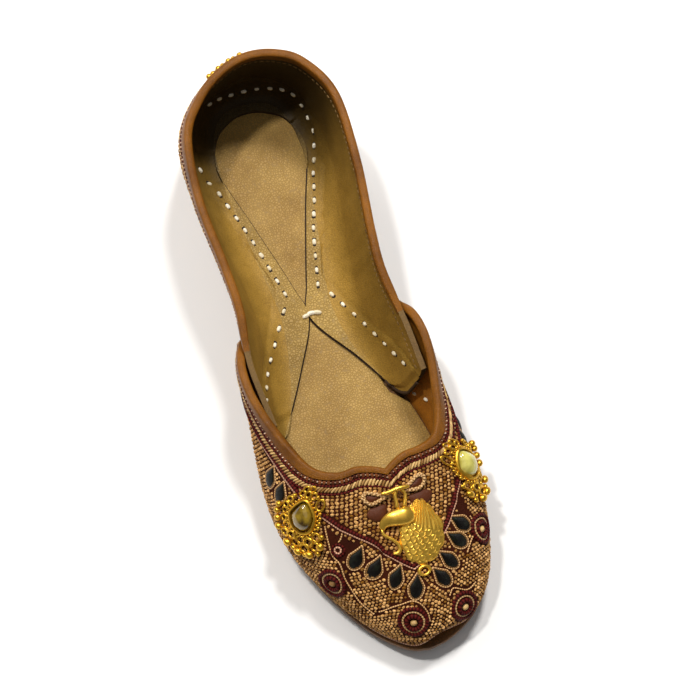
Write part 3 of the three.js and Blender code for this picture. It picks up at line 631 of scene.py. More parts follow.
def painted_heel_shade(material, start, end, least):
    """Paints shade into a leather towards the heel's back: a painted shadow for the dark inside of the heel
    cup.
    """
    tree = material.node_tree
    shader = tree.nodes["Principled BSDF"]
    colour = shader.inputs["Base Color"].links[0].from_socket
    place = node(tree, "ShaderNodeTexCoord").outputs["Object"]
    back = node(tree, "ShaderNodeSeparateXYZ", {0: place}).outputs["Y"]
    share = ramp(tree, back, start, end, 1.0, least, interpolation_type="SMOOTHSTEP")
    heel_shaded_colour = mix_colour(tree, 1.0, colour, share, blend_type="MULTIPLY")
    tree.links.new(heel_shaded_colour, shader.inputs["Base Color"])


lining_leather = leather("lining leather", (0.28, 0.158, 0.022, 1), (0.43, 0.25, 0.042, 1),
                         pebbles=1300, depth=0.00012, rubbed=0.15, roughness=0.55, specular_ior_level=0.25)
flap_leather = leather("flap leather", (0.27, 0.162, 0.035, 1), (0.44, 0.28, 0.07, 1),
                       pebbles=900, depth=0.0003, rubbed=0.3, roughness=0.5, specular_ior_level=0.3)
# Painted shade: the lining and the flaps are darkened towards the heel's back, where the heel cup lies in
# shadow.
painted_heel_shade(lining_leather, start=0.062, end=0.105, least=0.12)
painted_heel_shade(flap_leather, start=0.076, end=0.102, least=0.2)
# Dark dyed leather of the flaps' cut edges, also used as painted shadow for the dark gaps beside and under
# the flaps.
edge_dye_and_shadow = leather("cut edge", (0.02, 0.008, 0.002, 1), (0.05, 0.022, 0.005, 1),
                   pebbles=1500, depth=0.0001, rubbed=0.0, roughness=0.8)
raw_top = leather("raw top", (0.12, 0.062, 0.012, 1), (0.2, 0.11, 0.024, 1),
                  pebbles=1500, depth=0.0001, rubbed=0.1, roughness=0.7)
LINING, BROCADE, FLAP, EDGE_DYE_AND_SHADOW, RAW_TOP = range(5)


def section_kinds(count, size, kind_of_column, end_kind):
    """Material numbers for a solid's faces: one for each column of its sections, and one for both ends."""
    columns = [kind_of_column(column) for column in range(size)]
    return columns * (count - 1) + [end_kind, end_kind]


def quarter_kind(column):
    flap_start = 2 * QUARTER_LEVELS + FILLET_STEPS
    if column < QUARTER_LEVELS:
        return BROCADE
    if column == QUARTER_LEVELS:
        return RAW_TOP
    if column <= flap_start:
        return LINING
    return FLAP if column < flap_start + FLAP_STEPS else EDGE_DYE_AND_SHADOW


quarter_section = quarter_sections()
quarter = mesh_object(
    "quarter_wall", *solid_from_sections(quarter_section),
    lining_leather, brocade, flap_leather, edge_dye_and_shadow, raw_top,
    kinds=section_kinds(*quarter_section.shape[:2], quarter_kind, EDGE_DYE_AND_SHADOW))
keep(quarter, "lining_leather", "upper_quarter")

# Quarter binding
# A strip of burnished brown leather folded over the collar and sewn through, rolled round at the top and
# skived thin where its ends go in under the vamp's wings.
BINDING_LEATHER = 0.5 * MM
BINDING_GAP = 0.05 * MM
BINDING_DEPTH = 3.6 * MM
BINDING_PUFF = 0.12 * MM
ROLL_STEPS = 9
HEM_LEVELS = 5
COLLAR_END = 1.22
COLLAR_ENDS = (COLLAR_END, QUARTER_LAST - COLLAR_END)
COLLAR_STATIONS = 240
COLLAR_SKIVE = 0.5
SKIVED_LEAST = 0.02


def binding_sections(frames_at, controls_at, place, edge_share, hem, wall, fullness):
    """Channels over a top edge, round at the top, with a hem, a wall and a fullness given for each place."""
    _, _, upper, end = controls_at(place)
    per_share = 3 * np.linalg.norm(end - upper, axis=-1)
    inside = wall / 2 + BINDING_GAP
    outside = inside + BINDING_LEATHER * fullness
    hollow, roof = CLEARANCE * fullness, (CLEARANCE + BINDING_LEATHER) * fullness

    def at_depth(depth, out, up):
        position, normal, upward = frames_at(place, edge_share - depth / per_share)
        return position + (out - wall / 2)[:, None] * normal + (up * np.ones_like(place))[:, None] * upward

    levels = np.linspace(1, 0, HEM_LEVELS)
    swell = BINDING_PUFF * np.sin(np.pi * levels)
    roll = np.linspace(0, np.pi, ROLL_STEPS)[1:-1]
    outer = [at_depth(level * hem, outside + puff, 0) for level, puff in zip(levels, swell)]
    top = [at_depth(0, outside * np.cos(a), roof * np.sin(a)) for a in roll]
    inner = [at_depth(level * BINDING_DEPTH, -outside - puff, 0)
             for level, puff in zip(levels[::-1], swell)]
    channel = [at_depth(BINDING_DEPTH, -inside, 0), at_depth(0, -inside, hollow),
               at_depth(0, inside, hollow), at_depth(hem, inside, 0)]
    return np.stack(outer + top + inner + channel, axis=1)


def skived(place, ends, reach):
    """Fullness of a strip that thins to nothing at both ends."""
    from_end = np.minimum(place - ends[0], ends[1] - place)
    return SKIVED_LEAST + (1 - SKIVED_LEAST) * smoothstep(from_end, 0, reach)


def collar_edge(place):
    return np.ones_like(place)


def collar_hem(place):
    return np.full_like(place, BINDING_DEPTH)


binding_leather = leather("binding leather", (0.14, 0.046, 0.003, 1), (0.3, 0.11, 0.009, 1),
                          pebbles=1500, depth=0.00012, rubbed=0.1, roughness=0.42, specular_ior_level=0.2)
collar_places = np.linspace(*COLLAR_ENDS, COLLAR_STATIONS)
quarter_binding_sections = binding_sections(
    quarter_frames, quarter_controls, collar_places, collar_edge(collar_places), collar_hem(collar_places),
    np.full_like(collar_places, WALL), skived(collar_places, COLLAR_ENDS, COLLAR_SKIVE))
quarter_binding = mesh_object(
    "quarter_binding_strip", *solid_from_sections(quarter_binding_sections), binding_leather)
keep(quarter_binding, "binding_leather", "quarter_binding")

# Hand stitches
# Thick waxed cotton sewn by hand through the flaps and the insole, in single stitches with a pricked hole at
# each end, and one bar that ties the two flaps together at the waist.


def stitch_size(length, width, height, turn, spread):
    """Sizes of a stitch in mm, with how far single ones may turn, in radians, and differ in size."""
    return {"Length": length * MM, "Width": width * MM, "Height": height * MM,
            "Turn": turn, "Spread": spread}


HAND_STITCH = stitch_size(2.3, 1.7, 0.9, turn=0.16, spread=0.14)
HAND_HOLE = stitch_size(1.0, 1.3, 0.12, turn=0.4, spread=0.3)
HAND_HOLE_STEP = 1.25 * MM
WAIST_STITCH = stitch_size(3.4, 2.1, 1.3, turn=0.2, spread=0.1)
WAIST_BAR_PITCH = 2.2 * MM
STITCH_SINK = 0.1 * MM
BACK_PITCH = 5.9 * MM
SIDE_PITCH = 6.1 * MM
MEDIAL_LEAF_PITCH = 6.8 * MM
LATERAL_LEAF_PITCH = 8 * MM
PATH_SAMPLES = 60
PAD_BLUNTNESS = 0.6
PAD_SINK = 0.3
# Rows of stitches as (across, along, height) in mm: from the heel forwards along the sides, and from the
# lateral to the medial side at the back and the waist.
MEDIAL_ROW = [(22.1, 30.8, 16.1), (19.2, 42.4, 13.1), (14.6, 59.6, 12.3), (10.6, 71.9, 12.1),
              (5.8, 94.4, 11)]
MEDIAL_LEAF_ROW = [(10.1, 100, 10.2), (16.1, 111.3, 12.4), (23.1, 126.8, 17.5), (27.1, 139.9, 23.5)]
LATERAL_ROW = [(-27.2, 36, 18.3), (-22.8, 46, 13.5), (-16.4, 64.2, 12.3), (-11.5, 82.2, 11.8),
               (-8.2, 94.8, 10.9)]
LATERAL_LEAF_ROW = [(-10.7, 101.6, 10), (-17.3, 112.5, 10.4), (-25.7, 129, 17.6), (-28.4, 140, 25)]
BACK_ROW = [(-16.2, 9.2, 20.6), (-5.2, 5.7, 16.6), (9.6, 7.2, 17.4), (19, 14.8, 20.9),
            (21.5, 24.8, 16.8)]
WAIST_BAR = [(-2.6, 106, 10.4), (-0.2, 105.4, 10.6), (2.2, 105.8, 10.4)]


def new_geometry_tree(name, inputs):
    """A geometry tree with named inputs."""
    tree = bpy.data.node_groups.new(name, "GeometryNodeTree")
    tree.interface.new_socket("Geometry", in_out="INPUT", socket_type="NodeSocketGeometry")
    for socket, kind in inputs.items():
        tree.interface.new_socket(socket, in_out="INPUT", socket_type="NodeSocket" + kind)
    tree.interface.new_socket("Geometry", in_out="OUTPUT", socket_type="NodeSocketGeometry")
    return tree, tree.nodes.new("NodeGroupInput"), tree.nodes.new("NodeGroupOutput")


def finish_tree(tree, given, result, geometry):
    """Ends a geometry tree in plain mesh with its finish on it."""
    real = node(tree, "GeometryNodeRealizeInstances", {"Geometry": geometry})
    done = node(tree, "GeometryNodeSetMaterial", {
        "Geometry": real.outputs["Geometry"], "Material": given.outputs["Finish"]})
    tree.links.new(done.outputs["Geometry"], result.inputs["Geometry"])


def repeat_tree():
    """Sets a shape on points, turned by their along and normal directions, with small differences."""
    tree, given, result = new_geometry_tree("repeat on points", {
        "Shape": "Object", "Length": "Float", "Width": "Float", "Height": "Float",
        "Turn": "Float", "Spread": "Float", "Seed": "Int", "Finish": "Material"})
    along, normal = (node(tree, "GeometryNodeInputNamedAttribute", {"Name": name}, data_type="FLOAT_VECTOR")
                     for name in ("along", "normal"))
    laid = node(tree, "FunctionNodeAxesToRotation", {
        "Primary Axis": normal.outputs[0], "Secondary Axis": along.outputs[0]},
        primary_axis="Z", secondary_axis="X")
    opposite = math_node(tree, "MULTIPLY", given.outputs["Turn"], -1.0)
    turn = node(tree, "FunctionNodeRandomValue", {
        2: opposite, 3: given.outputs["Turn"], "Seed": given.outputs["Seed"]}, data_type="FLOAT")
    about = node(tree, "FunctionNodeAxisAngleToRotation", {"Axis": (0, 0, 1), "Angle": turn.outputs[1]})
    turned = node(tree, "FunctionNodeRotateRotation", {
        "Rotation": laid.outputs[0], "Rotate By": about.outputs[0]}, rotation_space="LOCAL")
    least = math_node(tree, "SUBTRACT", 1.0, given.outputs["Spread"])
    most = math_node(tree, "ADD", 1.0, given.outputs["Spread"])
    other_seed = math_node(tree, "ADD", given.outputs["Seed"], 1.0)
    size = node(tree, "FunctionNodeRandomValue", {2: least, 3: most, "Seed": other_seed}, data_type="FLOAT")
    sides = node(tree, "ShaderNodeCombineXYZ", {
        0: given.outputs["Length"], 1: given.outputs["Width"], 2: given.outputs["Height"]})
    scale = node(tree, "ShaderNodeVectorMath", {
        0: sides.outputs[0], "Scale": size.outputs[1]}, operation="SCALE")
    shape = node(tree, "GeometryNodeObjectInfo", {"Object": given.outputs["Shape"]})
    copies = node(tree, "GeometryNodeInstanceOnPoints", {
        "Points": given.outputs["Geometry"], "Instance": shape.outputs["Geometry"],
        "Rotation": turned.outputs[0], "Scale": scale.outputs[0]})
    finish_tree(tree, given, result, copies.outputs["Instances"])
    return tree


REPEAT = repeat_tree()


def grown(name, start, tree, values):
    """The plain mesh object that a geometry tree makes from a start mesh."""
    seedling = bpy.data.objects.new(name + "_start", start)
    bpy.context.scene.collection.objects.link(seedling)
    modifier = seedling.modifiers.new("grow", "NODES")
    modifier.node_group = tree
    for item in tree.interface.items_tree:
        if item.in_out == "INPUT" and item.name in values:
            modifier[item.identifier] = values[item.name]
    evaluated = seedling.evaluated_get(bpy.context.evaluated_depsgraph_get())
    mesh = bpy.data.meshes.new_from_object(evaluated)
    bpy.data.objects.remove(seedling)
    mesh.name = name
    mesh.shade_smooth()
    made = bpy.data.objects.new(name, mesh)
    bpy.context.scene.collection.objects.link(made)
    return made


def point_mesh(points, **attributes):
    """A mesh of loose points with directions and numbers on them."""
    mesh = bpy.data.meshes.new("points")
    mesh.from_pydata(np.asarray(points).tolist(), [], [])
    for name, values in attributes.items():
        values = np.ascontiguousarray(values, np.float32)
        kind = "FLOAT_VECTOR" if values.ndim == 2 else "FLOAT"
        data = mesh.attributes.new(name, kind, "POINT").data
        data.foreach_set("vector" if values.ndim == 2 else "value", values.ravel())
    return mesh


def full_turn(count):
    """Angles at even steps once round."""
    return np.linspace(0, 2 * np.pi, count, endpoint=False)


def pad_shape(name, stations, sides):
    """A unit pad of thread: pointed at both ends, domed above and a little sunk below."""
    turn = np.linspace(0, np.pi, stations + 2)[1:-1]
    around = full_turn(sides)
    width = np.sin(turn)[:, None] ** PAD_BLUNTNESS
    up = np.sin(around)[None]
    rings = np.stack([
        np.repeat(-0.5 * np.cos(turn)[:, None], sides, 1), 0.5 * width * np.cos(around)[None],
        width * np.where(up > 0, up, PAD_SINK * up)], -1).reshape(-1, 3)
    ends = np.array([(-0.5, 0, 0), (0.5, 0, 0)])
    first, last, base = len(rings), len(rings) + 1, (stations - 1) * sides
    faces = loft_faces(stations, sides)
    for side in range(sides):
        beside = (side + 1) % sides
        faces.append([first, beside, side])
        faces.append([last, base + side, base + beside])
    return mesh_object(name, np.vstack([rings, ends]), faces)


def run_along(points):
    """The distance run along a path at each of its points."""
    return np.concatenate([[0], np.cumsum(np.linalg.norm(np.diff(points, axis=0), axis=1))])


def smooth_path(points, step):
    """Points at even steps along a smooth curve through given ones."""
    table = np.asarray(points, float)
    dense = row_at(table, np.linspace(0, len(table) - 1, PATH_SAMPLES * len(table)))
    run = run_along(dense)
    count = max(2, int(round(run[-1] / step)) + 1)
    even = np.linspace(0, run[-1], count)
    return np.stack([np.interp(even, run, dense[:, axis]) for axis in range(dense.shape[1])], -1)


def in_shoe(points):
    """Points given as (across, along, height) in mm, in the shoe's frame."""
    across, along, height = np.moveaxis(MM * np.asarray(points, float), -1, 0)
    return with_height(in_plan(across, along), height)


def on_surface(tree, points):
    """The nearest points of a surface, with the directions off it."""
    hits = [tree.find_nearest(Vector(p)) for p in points]
    return np.array([hit[0] for hit in hits]), np.array([hit[1] for hit in hits])


def surface_of(piece):
    return BVHTree.FromObject(piece, bpy.context.evaluated_depsgraph_get())


def stitch_row(surface, path):
    """Places, directions along the row and directions off the surface for stitches on a path."""
    points, normals = on_surface(surface, path)
    return points, unit(np.gradient(points, axis=0)), normals


def sewn_row(surface, route, pitch):
    """A row of stitches by hand along a route given in mm."""
    return stitch_row(surface, smooth_path(in_shoe(route), pitch))


def thread(name, dark, light, **values):
    """Spun thread: two shades mixed from a tone that each stitch carries, with a fine twist as a bump."""
    material, tree, shader = new_material(name, **values)
    tone = node(tree, "ShaderNodeAttribute", attribute_name="tone").outputs["Fac"]
    tree.links.new(mix_colour(tree, tone, dark, light), shader.inputs["Base Color"])
    add_bump(tree, shader, noise(tree, scale=4200.0, detail=2.0), strength=0.5, distance=0.0002)
    return material


def stitches_on(name, shape, rows, finish, sizes, lift=0.0, seed=1):
    """One piece of stitches from rows of places with their directions."""
    points, along, normals = (np.vstack(parts) for parts in zip(*rows))
    tone = np.random.default_rng(seed).uniform(0, 1, len(points))
    start = point_mesh(points + lift * normals, along=along, normal=normals, tone=tone)
    return grown(name, start, REPEAT, dict(sizes, Shape=shape, Seed=seed, Finish=finish))


def moved_along(row, step):
    """The stitches of a row, each moved on along it."""
    points, along, normals = row
    return points + step * along, along, normals


cotton = thread("waxed cotton", (0.78, 0.68, 0.46, 1), (0.92, 0.87, 0.72, 1), roughness=0.6)
pricked_hole, _, hole_shader = new_material("pricked hole", roughness=0.9)
hole_shader.inputs["Base Color"].default_value = (0.02, 0.01, 0.004, 1)
LONG_PAD = pad_shape("long_pad", stations=7, sides=8)
quarter_surface = surface_of(quarter)
hand_rows = [sewn_row(quarter_surface, route, pitch) for route, pitch in (
    (MEDIAL_ROW, SIDE_PITCH), (MEDIAL_LEAF_ROW, MEDIAL_LEAF_PITCH), (LATERAL_ROW, SIDE_PITCH),
    (LATERAL_LEAF_ROW, LATERAL_LEAF_PITCH), (BACK_ROW, BACK_PITCH))]
keep(stitches_on("hand_stitches", LONG_PAD, hand_rows, cotton, HAND_STITCH, -STITCH_SINK), "lining_leather")
hole_rows = [moved_along(row, step) for row in hand_rows for step in (-HAND_HOLE_STEP, HAND_HOLE_STEP)]
keep(stitches_on("hand_stitch_holes", LONG_PAD, hole_rows, pricked_hole, HAND_HOLE), "lining_leather")
bar_row = sewn_row(quarter_surface, WAIST_BAR, WAIST_BAR_PITCH)
keep(stitches_on("waist_bar", LONG_PAD, [bar_row], cotton, WAIST_STITCH), "lining_leather")

# Flap edge
# The cut edge of the turned-in leather flaps, dyed dark and burnished, which also serves as a painted
# shadow: a thin line along both sides, set a little off the edge on the insole where the gap beside the flap
# is in shade, and a thicker one at the front end of the medial flap for the dark gap under it.
FLAP_EDGE_COLUMN = 2 * QUARTER_LEVELS + FILLET_STEPS + FLAP_STEPS + 1
FLAP_EDGE_RADIUS = 0.3 * MM
FLAP_EDGE_STEP = 0.3 * MM
FLAP_SIDE_STRIPS = 5
FLAP_LINE_STEP = 1.0 * MM
FLAP_END_LEVELS = 14
FLAP_END_COLUMN = 2 * QUARTER_LEVELS - FLAP_END_LEVELS
FLAP_END_STEP = MM * np.array([0, -0.5, -0.5])
FLAP_END_RADIUS = 0.75 * MM
THIN_SIDES = 6
ENDS_MEET = 1e-6


def cord_tree():
    """A round cord along each path of edges, with the distance run along it."""
    tree, given, result = new_geometry_tree("cord along a path", {
        "Radius": "Float", "Sides": "Int", "Finish": "Material"})
    path = node(tree, "GeometryNodeMeshToCurve", {"Mesh": given.outputs["Geometry"]})
    run = node(tree, "GeometryNodeSplineParameter").outputs["Length"]
    marked = node(tree, "GeometryNodeStoreNamedAttribute", {
        "Geometry": path.outputs["Curve"], "Name": "run", "Value": run}, data_type="FLOAT", domain="POINT")
    section = node(tree, "GeometryNodeCurvePrimitiveCircle", {
        "Resolution": given.outputs["Sides"], "Radius": given.outputs["Radius"]})
    tube = node(tree, "GeometryNodeCurveToMesh", {
        "Curve": marked.outputs["Geometry"], "Profile Curve": section.outputs["Curve"], "Fill Caps": True})
    finish_tree(tree, given, result, tube.outputs["Mesh"])
    return tree


CORD = cord_tree()


def path_mesh(paths):
    """Edges through each path's points; a path whose ends meet is closed."""
    mesh = bpy.data.meshes.new("paths")
    points, edges = [], []
    for path in paths:
        start = len(points)
        closed = np.linalg.norm(path[0] - path[-1]) < ENDS_MEET
        kept = path[:-1] if closed else path
        points.extend(kept.tolist())
        edges.extend((start + i, start + i + 1) for i in range(len(kept) - 1))
        if closed:
            edges.append((start + len(kept) - 1, start))
    mesh.from_pydata(points, edges, [])
    return mesh


def cords(name, paths, radius, finish, sides=8):
    return grown(name, path_mesh(paths), CORD, {"Radius": radius, "Sides": sides, "Finish": finish})


def flap_edge_paths():
    """Lines just off the lower edge of the flaps, on the two sides."""
    edge = quarter_section[:, FLAP_EDGE_COLUMN]
    behind = quarter_section[:, FLAP_EDGE_COLUMN - FLAP_STEPS // 2]
    line = edge + FLAP_EDGE_STEP * unit((edge - behind) * np.array([1, 1, 0]))
    side = FLAP_SIDE_STRIPS * STATIONS_PER_STRIP
    return [smooth_path(part, FLAP_LINE_STEP) for part in (line[:side], line[-side:])]


flap_end = quarter_section[-1, FLAP_END_COLUMN:FLAP_EDGE_COLUMN]
flap_end_path = smooth_path(flap_end + FLAP_END_STEP, FLAP_LINE_STEP)
keep(cords("flap_edge", flap_edge_paths(), FLAP_EDGE_RADIUS, edge_dye_and_shadow, THIN_SIDES), "lining_leather")
keep(cords("flap_end", [flap_end_path], FLAP_END_RADIUS, edge_dye_and_shadow, THIN_SIDES), "lining_leather")

# Lining seam
# A fine machine seam of brown thread round the inside, a little under the collar's binding. It holds the
# lining to the brocade.
SEAM_STITCH = stitch_size(1.6, 0.6, 0.35, turn=0.1, spread=0.1)
SEAM_DEPTH = 7.2 * MM
SEAM_PITCH = 2.3 * MM
SEAM_END = 0.2
SEAM_SAMPLES = 900


def inner_wall_row(depth, pitch):
    """Places along the inside of the quarter at a depth under its top edge."""
    place = np.linspace(SEAM_END, QUARTER_LAST - SEAM_END, SEAM_SAMPLES)
    _, _, upper, end = quarter_controls(place)
    share = 1 - depth / (3 * np.linalg.norm(end - upper, axis=-1))
    position, normal, _ = quarter_frames(place, share)
    return smooth_path(position - WALL * normal, pitch)


seam_row = stitch_row(quarter_surface, inner_wall_row(SEAM_DEPTH, SEAM_PITCH))
seam_thread = thread("lining seam thread", (0.16, 0.085, 0.02, 1), (0.3, 0.17, 0.05, 1), roughness=0.6)
keep(stitches_on("lining_seam", LONG_PAD, [seam_row], seam_thread, SEAM_STITCH), "lining_leather")

# Vamp
# Toe, instep and two wings in one piece: embroidered cloth over leather, lined in saddle brown, sewn down on
# the sole, with a notch at the middle of the throat and a small arch over the sole at the toe's tip.
VAMP_INSET = 1.6 * MM
THROAT_NOTCH_DEPTH = 4.6 * MM
THROAT_NOTCH_REACH = 1.35
THROAT_NOTCH_SHARPNESS = 1.6
TOE_NOTCH_HEIGHT = 3.8 * MM
TOE_NOTCH_DEPTH = 2.5 * MM
TOE_NOTCH_REACH = 0.78
TOE_NOTCH_PLACE = 9.06
TOE_NOTCH_FULL = 0.7
WING_SKIVE = 0.8
WING_LEAST = 0.35
RIDGE_STRIP = 9
VAMP_LEVELS = 70
VAMP_LINING_LEVELS = 30
# Three hand stitches in the lining beside the ball, as (across, along, height) in mm.
VAMP_LINING_ROW = [(28, 150, 11), (30.8, 154.7, 15), (33.6, 159.5, 19)]
VAMP_LINING_PITCH = 6.5 * MM
# Strips from the medial wing round the toe to the lateral wing: foot as a corner of the sole's outline, then
# in mm across, along, height, rise, belly, over, drop.
VAMP_STRIPS = np.array([
    (5.3, 31.6, 118, 35.5, 10, 6, 1, 11),
    (5.7, 34.9, 125.5, 41, 12, 6.5, 1.5, 13),
    (6.1, 36.6, 134, 42.6, 12, 6, 2, 13),
    (6.55, 36.6, 144.5, 41.6, 12, 6, 3, 12),
    (7.1, 34.9, 156, 39.8, 13, 7, 5, 10),
    (7.8, 32.3, 166.5, 38.8, 14, 10, 8, 8),
    (8.5, 28, 175, 38.5, 15, 11.5, 13, 6),
    (9.2, 21, 178.3, 39.8, 15, 11, 22, 6),
    (9.95, 13, 179.3, 41.2, 14, 7, 32, 9),
    (10.7, 5.3, 179.5, 42, 14, 2.5, 36, 10),
    (11.6, -4, 180, 42, 15, 3, 32, 9),
    (12.6, -13, 180.5, 41.8, 15, 7, 23, 6),
    (13.6, -22, 175.5, 41, 15, 10.5, 13, 6),
    (14.4, -28.6, 164, 40.5, 14, 10.5, 7, 8),
    (15, -33.4, 153, 41.3, 13, 9, 4, 11),
    (15.5, -36.6, 142, 42.6, 13, 7.5, 2.5, 13),
    (15.95, -37.3, 132, 42.6, 13, 7, 2, 13),
    (16.35, -36.2, 125, 40.8, 12, 7, 1.5, 13),
    (16.75, -33.3, 117, 36.5, 10, 6, 1, 11),
])
VAMP_STRIPS[:, 1:] *= MM
VAMP_LAST = len(VAMP_STRIPS) - 1


def vamp_controls(place):
    near_tip = 1 - np.abs(place - TOE_NOTCH_PLACE) / TOE_NOTCH_REACH
    inset = VAMP_INSET + TOE_NOTCH_DEPTH * smoothstep(near_tip, 0, 1)
    lift = TOE_NOTCH_HEIGHT * smoothstep(near_tip, 0, TOE_NOTCH_FULL)
    notched = strip_controls(VAMP_STRIPS, place, inset, lift)
    plain = strip_controls(VAMP_STRIPS, place, np.full_like(inset, VAMP_INSET), 0 * lift)
    return (notched[0], *plain[1:])


def vamp_frames(place, share):
    return wall_frames(vamp_controls, VAMP_LAST, place, share)


def vamp_edge_share(place):
    """The share of a strip's height at which the throat is cut, lower at the notch."""
    near_notch = np.maximum(0, 1 - np.abs(place - RIDGE_STRIP) / THROAT_NOTCH_REACH)
    _, _, upper, end = vamp_controls(place)
    return 1 - THROAT_NOTCH_DEPTH * near_notch ** THROAT_NOTCH_SHARPNESS / (
        3 * np.linalg.norm(end - upper, axis=-1))


def vamp_wall(place):
    """Thickness of the vamp, skived at the tips of the wings."""
    return WALL * (WING_LEAST + (1 - WING_LEAST) * skived(place, (0, VAMP_LAST), WING_SKIVE))


vamp_places = np.linspace(0, VAMP_LAST, VAMP_LAST * STATIONS_PER_STRIP + 1)


def vamp_sections():
    edge = vamp_edge_share(vamp_places)[:, None]
    outer, _, _ = vamp_frames(vamp_places[:, None], edge * np.linspace(0, 1, VAMP_LEVELS + 1))
    position, normal, _ = vamp_frames(vamp_places[:, None], edge * np.linspace(1, 0, VAMP_LINING_LEVELS + 1))
    inner = position - vamp_wall(vamp_places)[:, None, None] * normal
    inner[:, -1, 2] = position[:, -1, 2]
    return np.concatenate([outer, inner], axis=1)


def vamp_kind(column):
    return BROCADE if column < VAMP_LEVELS else LINING


vamp_lining = leather("vamp lining", (0.3, 0.1, 0.008, 1), (0.52, 0.2, 0.02, 1),
                      pebbles=1300, depth=0.00012, rubbed=0.2, roughness=0.5, specular_ior_level=0.3)
vamp_section = vamp_sections()
vamp = mesh_object("vamp_wall", *solid_from_sections(vamp_section), vamp_lining, brocade,
                   kinds=section_kinds(*vamp_section.shape[:2], vamp_kind, LINING))
keep(vamp, "brocade", "upper_vamp")
vamp_rows = [sewn_row(surface_of(vamp), VAMP_LINING_ROW, VAMP_LINING_PITCH)]
keep(stitches_on("vamp_lining_stitches", LONG_PAD, vamp_rows, cotton, HAND_STITCH, -STITCH_SINK), "brocade")

# Vamp binding
# The same brown leather folded over the throat's edge and along both wings and sewn through, narrower over
# the instep and skived at the tips of the wings.
HEM_PLACES = [0, 5.6, 7.2, 10.8, 12.4, 18]
HEM_DEPTHS = MM * np.array([3, 3, 1.8, 1.8, 3, 3])


def vamp_hem(place):
    return np.interp(place, HEM_PLACES, HEM_DEPTHS)


vamp_binding_sections = binding_sections(
    vamp_frames, vamp_controls, vamp_places, vamp_edge_share(vamp_places), vamp_hem(vamp_places),
    vamp_wall(vamp_places), skived(vamp_places, (0, VAMP_LAST), WING_SKIVE))
vamp_binding = mesh_object(
    "vamp_binding_strip", *solid_from_sections(vamp_binding_sections), binding_leather)
keep(vamp_binding, "binding_leather", "vamp_binding")

# Edge trim
# Bands of thread sewn beside the bindings of throat and collar: a row of chain stitches with pale knots, a
# twisted beige braid, and a maroon cord on each side of the braid.
CHAIN_STITCH = stitch_size(1.9, 1.9, 0.6, turn=0.1, spread=0.08)
CHAIN_KNOT = stitch_size(0.8, 0.65, 0.95, turn=0.5, spread=0.2)
CHAIN_STEP = 1.1 * MM
CHAIN_PITCH = 1.7 * MM
BRAID_STRAND = stitch_size(3.2, 1.15, 1.0, turn=0.12, spread=0.12)
BRAID_STEP = 3.9 * MM
BRAID_PITCH = 1.3 * MM
BRAID_SLANT = math.radians(46)
TRIM_CORD_STEPS = (2.45 * MM, 5.6 * MM)
TRIM_CORD_RADIUS = 0.5 * MM
TRIM_PATH_STEP = 0.6 * MM
TRIM_PATH_THINNING = 3
TRIM_WIDTH = 6.3 * MM
# How far the middle of a couched cord stands off the cloth, as a share of its radius.
COUCHED = 0.3
THROAT_TRIM_END = 0.1
COLLAR_TRIM_END = 1.75
THROAT_SAMPLES = 1500
COLLAR_SAMPLES = 1300
throat_places = np.linspace(THROAT_TRIM_END, VAMP_LAST - THROAT_TRIM_END, THROAT_SAMPLES)
collar_trim_places = np.linspace(COLLAR_TRIM_END, QUARTER_LAST - COLLAR_TRIM_END, COLLAR_SAMPLES)
# A wall that gets trim: its frames, its controls, its top edge, its hem and the places along it.
THROAT = (vamp_frames, vamp_controls, vamp_edge_share, vamp_hem, throat_places)
COLLAR = (quarter_frames, quarter_controls, collar_edge, collar_hem, collar_trim_places)


def lines_under_hem(wall, steps, levels=160):
    """Shares of a wall's height at distances down its face from the hem, past the foot as nan."""
    _, controls_at, edge_at, hem_at, place = wall
    share = edge_at(place)[:, None] * np.linspace(1, 0, levels)
    line = curve_point([point[:, None] for point in controls_at(place)], share)
    run = np.cumsum(np.linalg.norm(np.diff(line, axis=1), axis=-1), axis=1)
    run = np.concatenate([np.zeros((len(place), 1)), run], axis=1)
    depths = hem_at(place)[:, None] + np.asarray(steps)[None]
    return np.array([np.interp(depths[i], run[i], share[i], right=np.nan) for i in range(len(place))])


def even_places(position, place, share, pitch, stagger=0.0):
    """Places and shares at an even pitch along a line on a wall."""
    run = run_along(position)
    even = np.arange(stagger * pitch, run[-1], pitch)
    return np.interp(even, run, place), np.interp(even, run, share)


def wound_cord(name, dark, light, pitch, **values):
    """Cord wound with thread across its run, with painted shade that darkens its colour between the turns.
    """
    material, tree, shader = new_material(name, **values)
    run = node(tree, "ShaderNodeAttribute", attribute_name="run").outputs["Fac"]
    wave = math_node(tree, "SINE", math_node(tree, "MULTIPLY", run, 2 * math.pi / pitch))
    # Painted shade: the colour follows the bump's wave and is darker in the grooves between the turns.
    share = math_node(tree, "MULTIPLY_ADD", wave, 0.5, 0.5)
    tree.links.new(mix_colour(tree, share, dark, light), shader.inputs["Base Color"])
    add_bump(tree, shader, share, strength=0.6, distance=0.0002)
    return material


def trim_path(wall, step, lift):
    frames_at, place = wall[0], wall[-1]
    position, normal, _ = frames_at(place, lines_under_hem(wall, [step])[:, 0])
    return smooth_path((position + lift * normal)[::TRIM_PATH_THINNING], TRIM_PATH_STEP)


def stitch_places(frames_at, place, share, slant=0.0):
    """Stitch places on a wall, their directions along it turned by a slant, and the directions off it."""
    position, normal, upward = frames_at(place, share)
    turn = np.broadcast_to(slant, place.shape)[:, None]
    return position, np.cos(turn) * np.cross(upward, normal) + np.sin(turn) * upward, normal


def trim_row(wall, step, pitch, slant=0.0, stagger=0.0):
    """A row of stitch places beside the hem of a wall, their directions turned by a slant."""
    frames_at, place = wall[0], wall[-1]
    share = lines_under_hem(wall, [step])[:, 0]
    position, _, _ = frames_at(place, share)
    return stitch_places(frames_at, *even_places(position, place, share, pitch, stagger), slant)


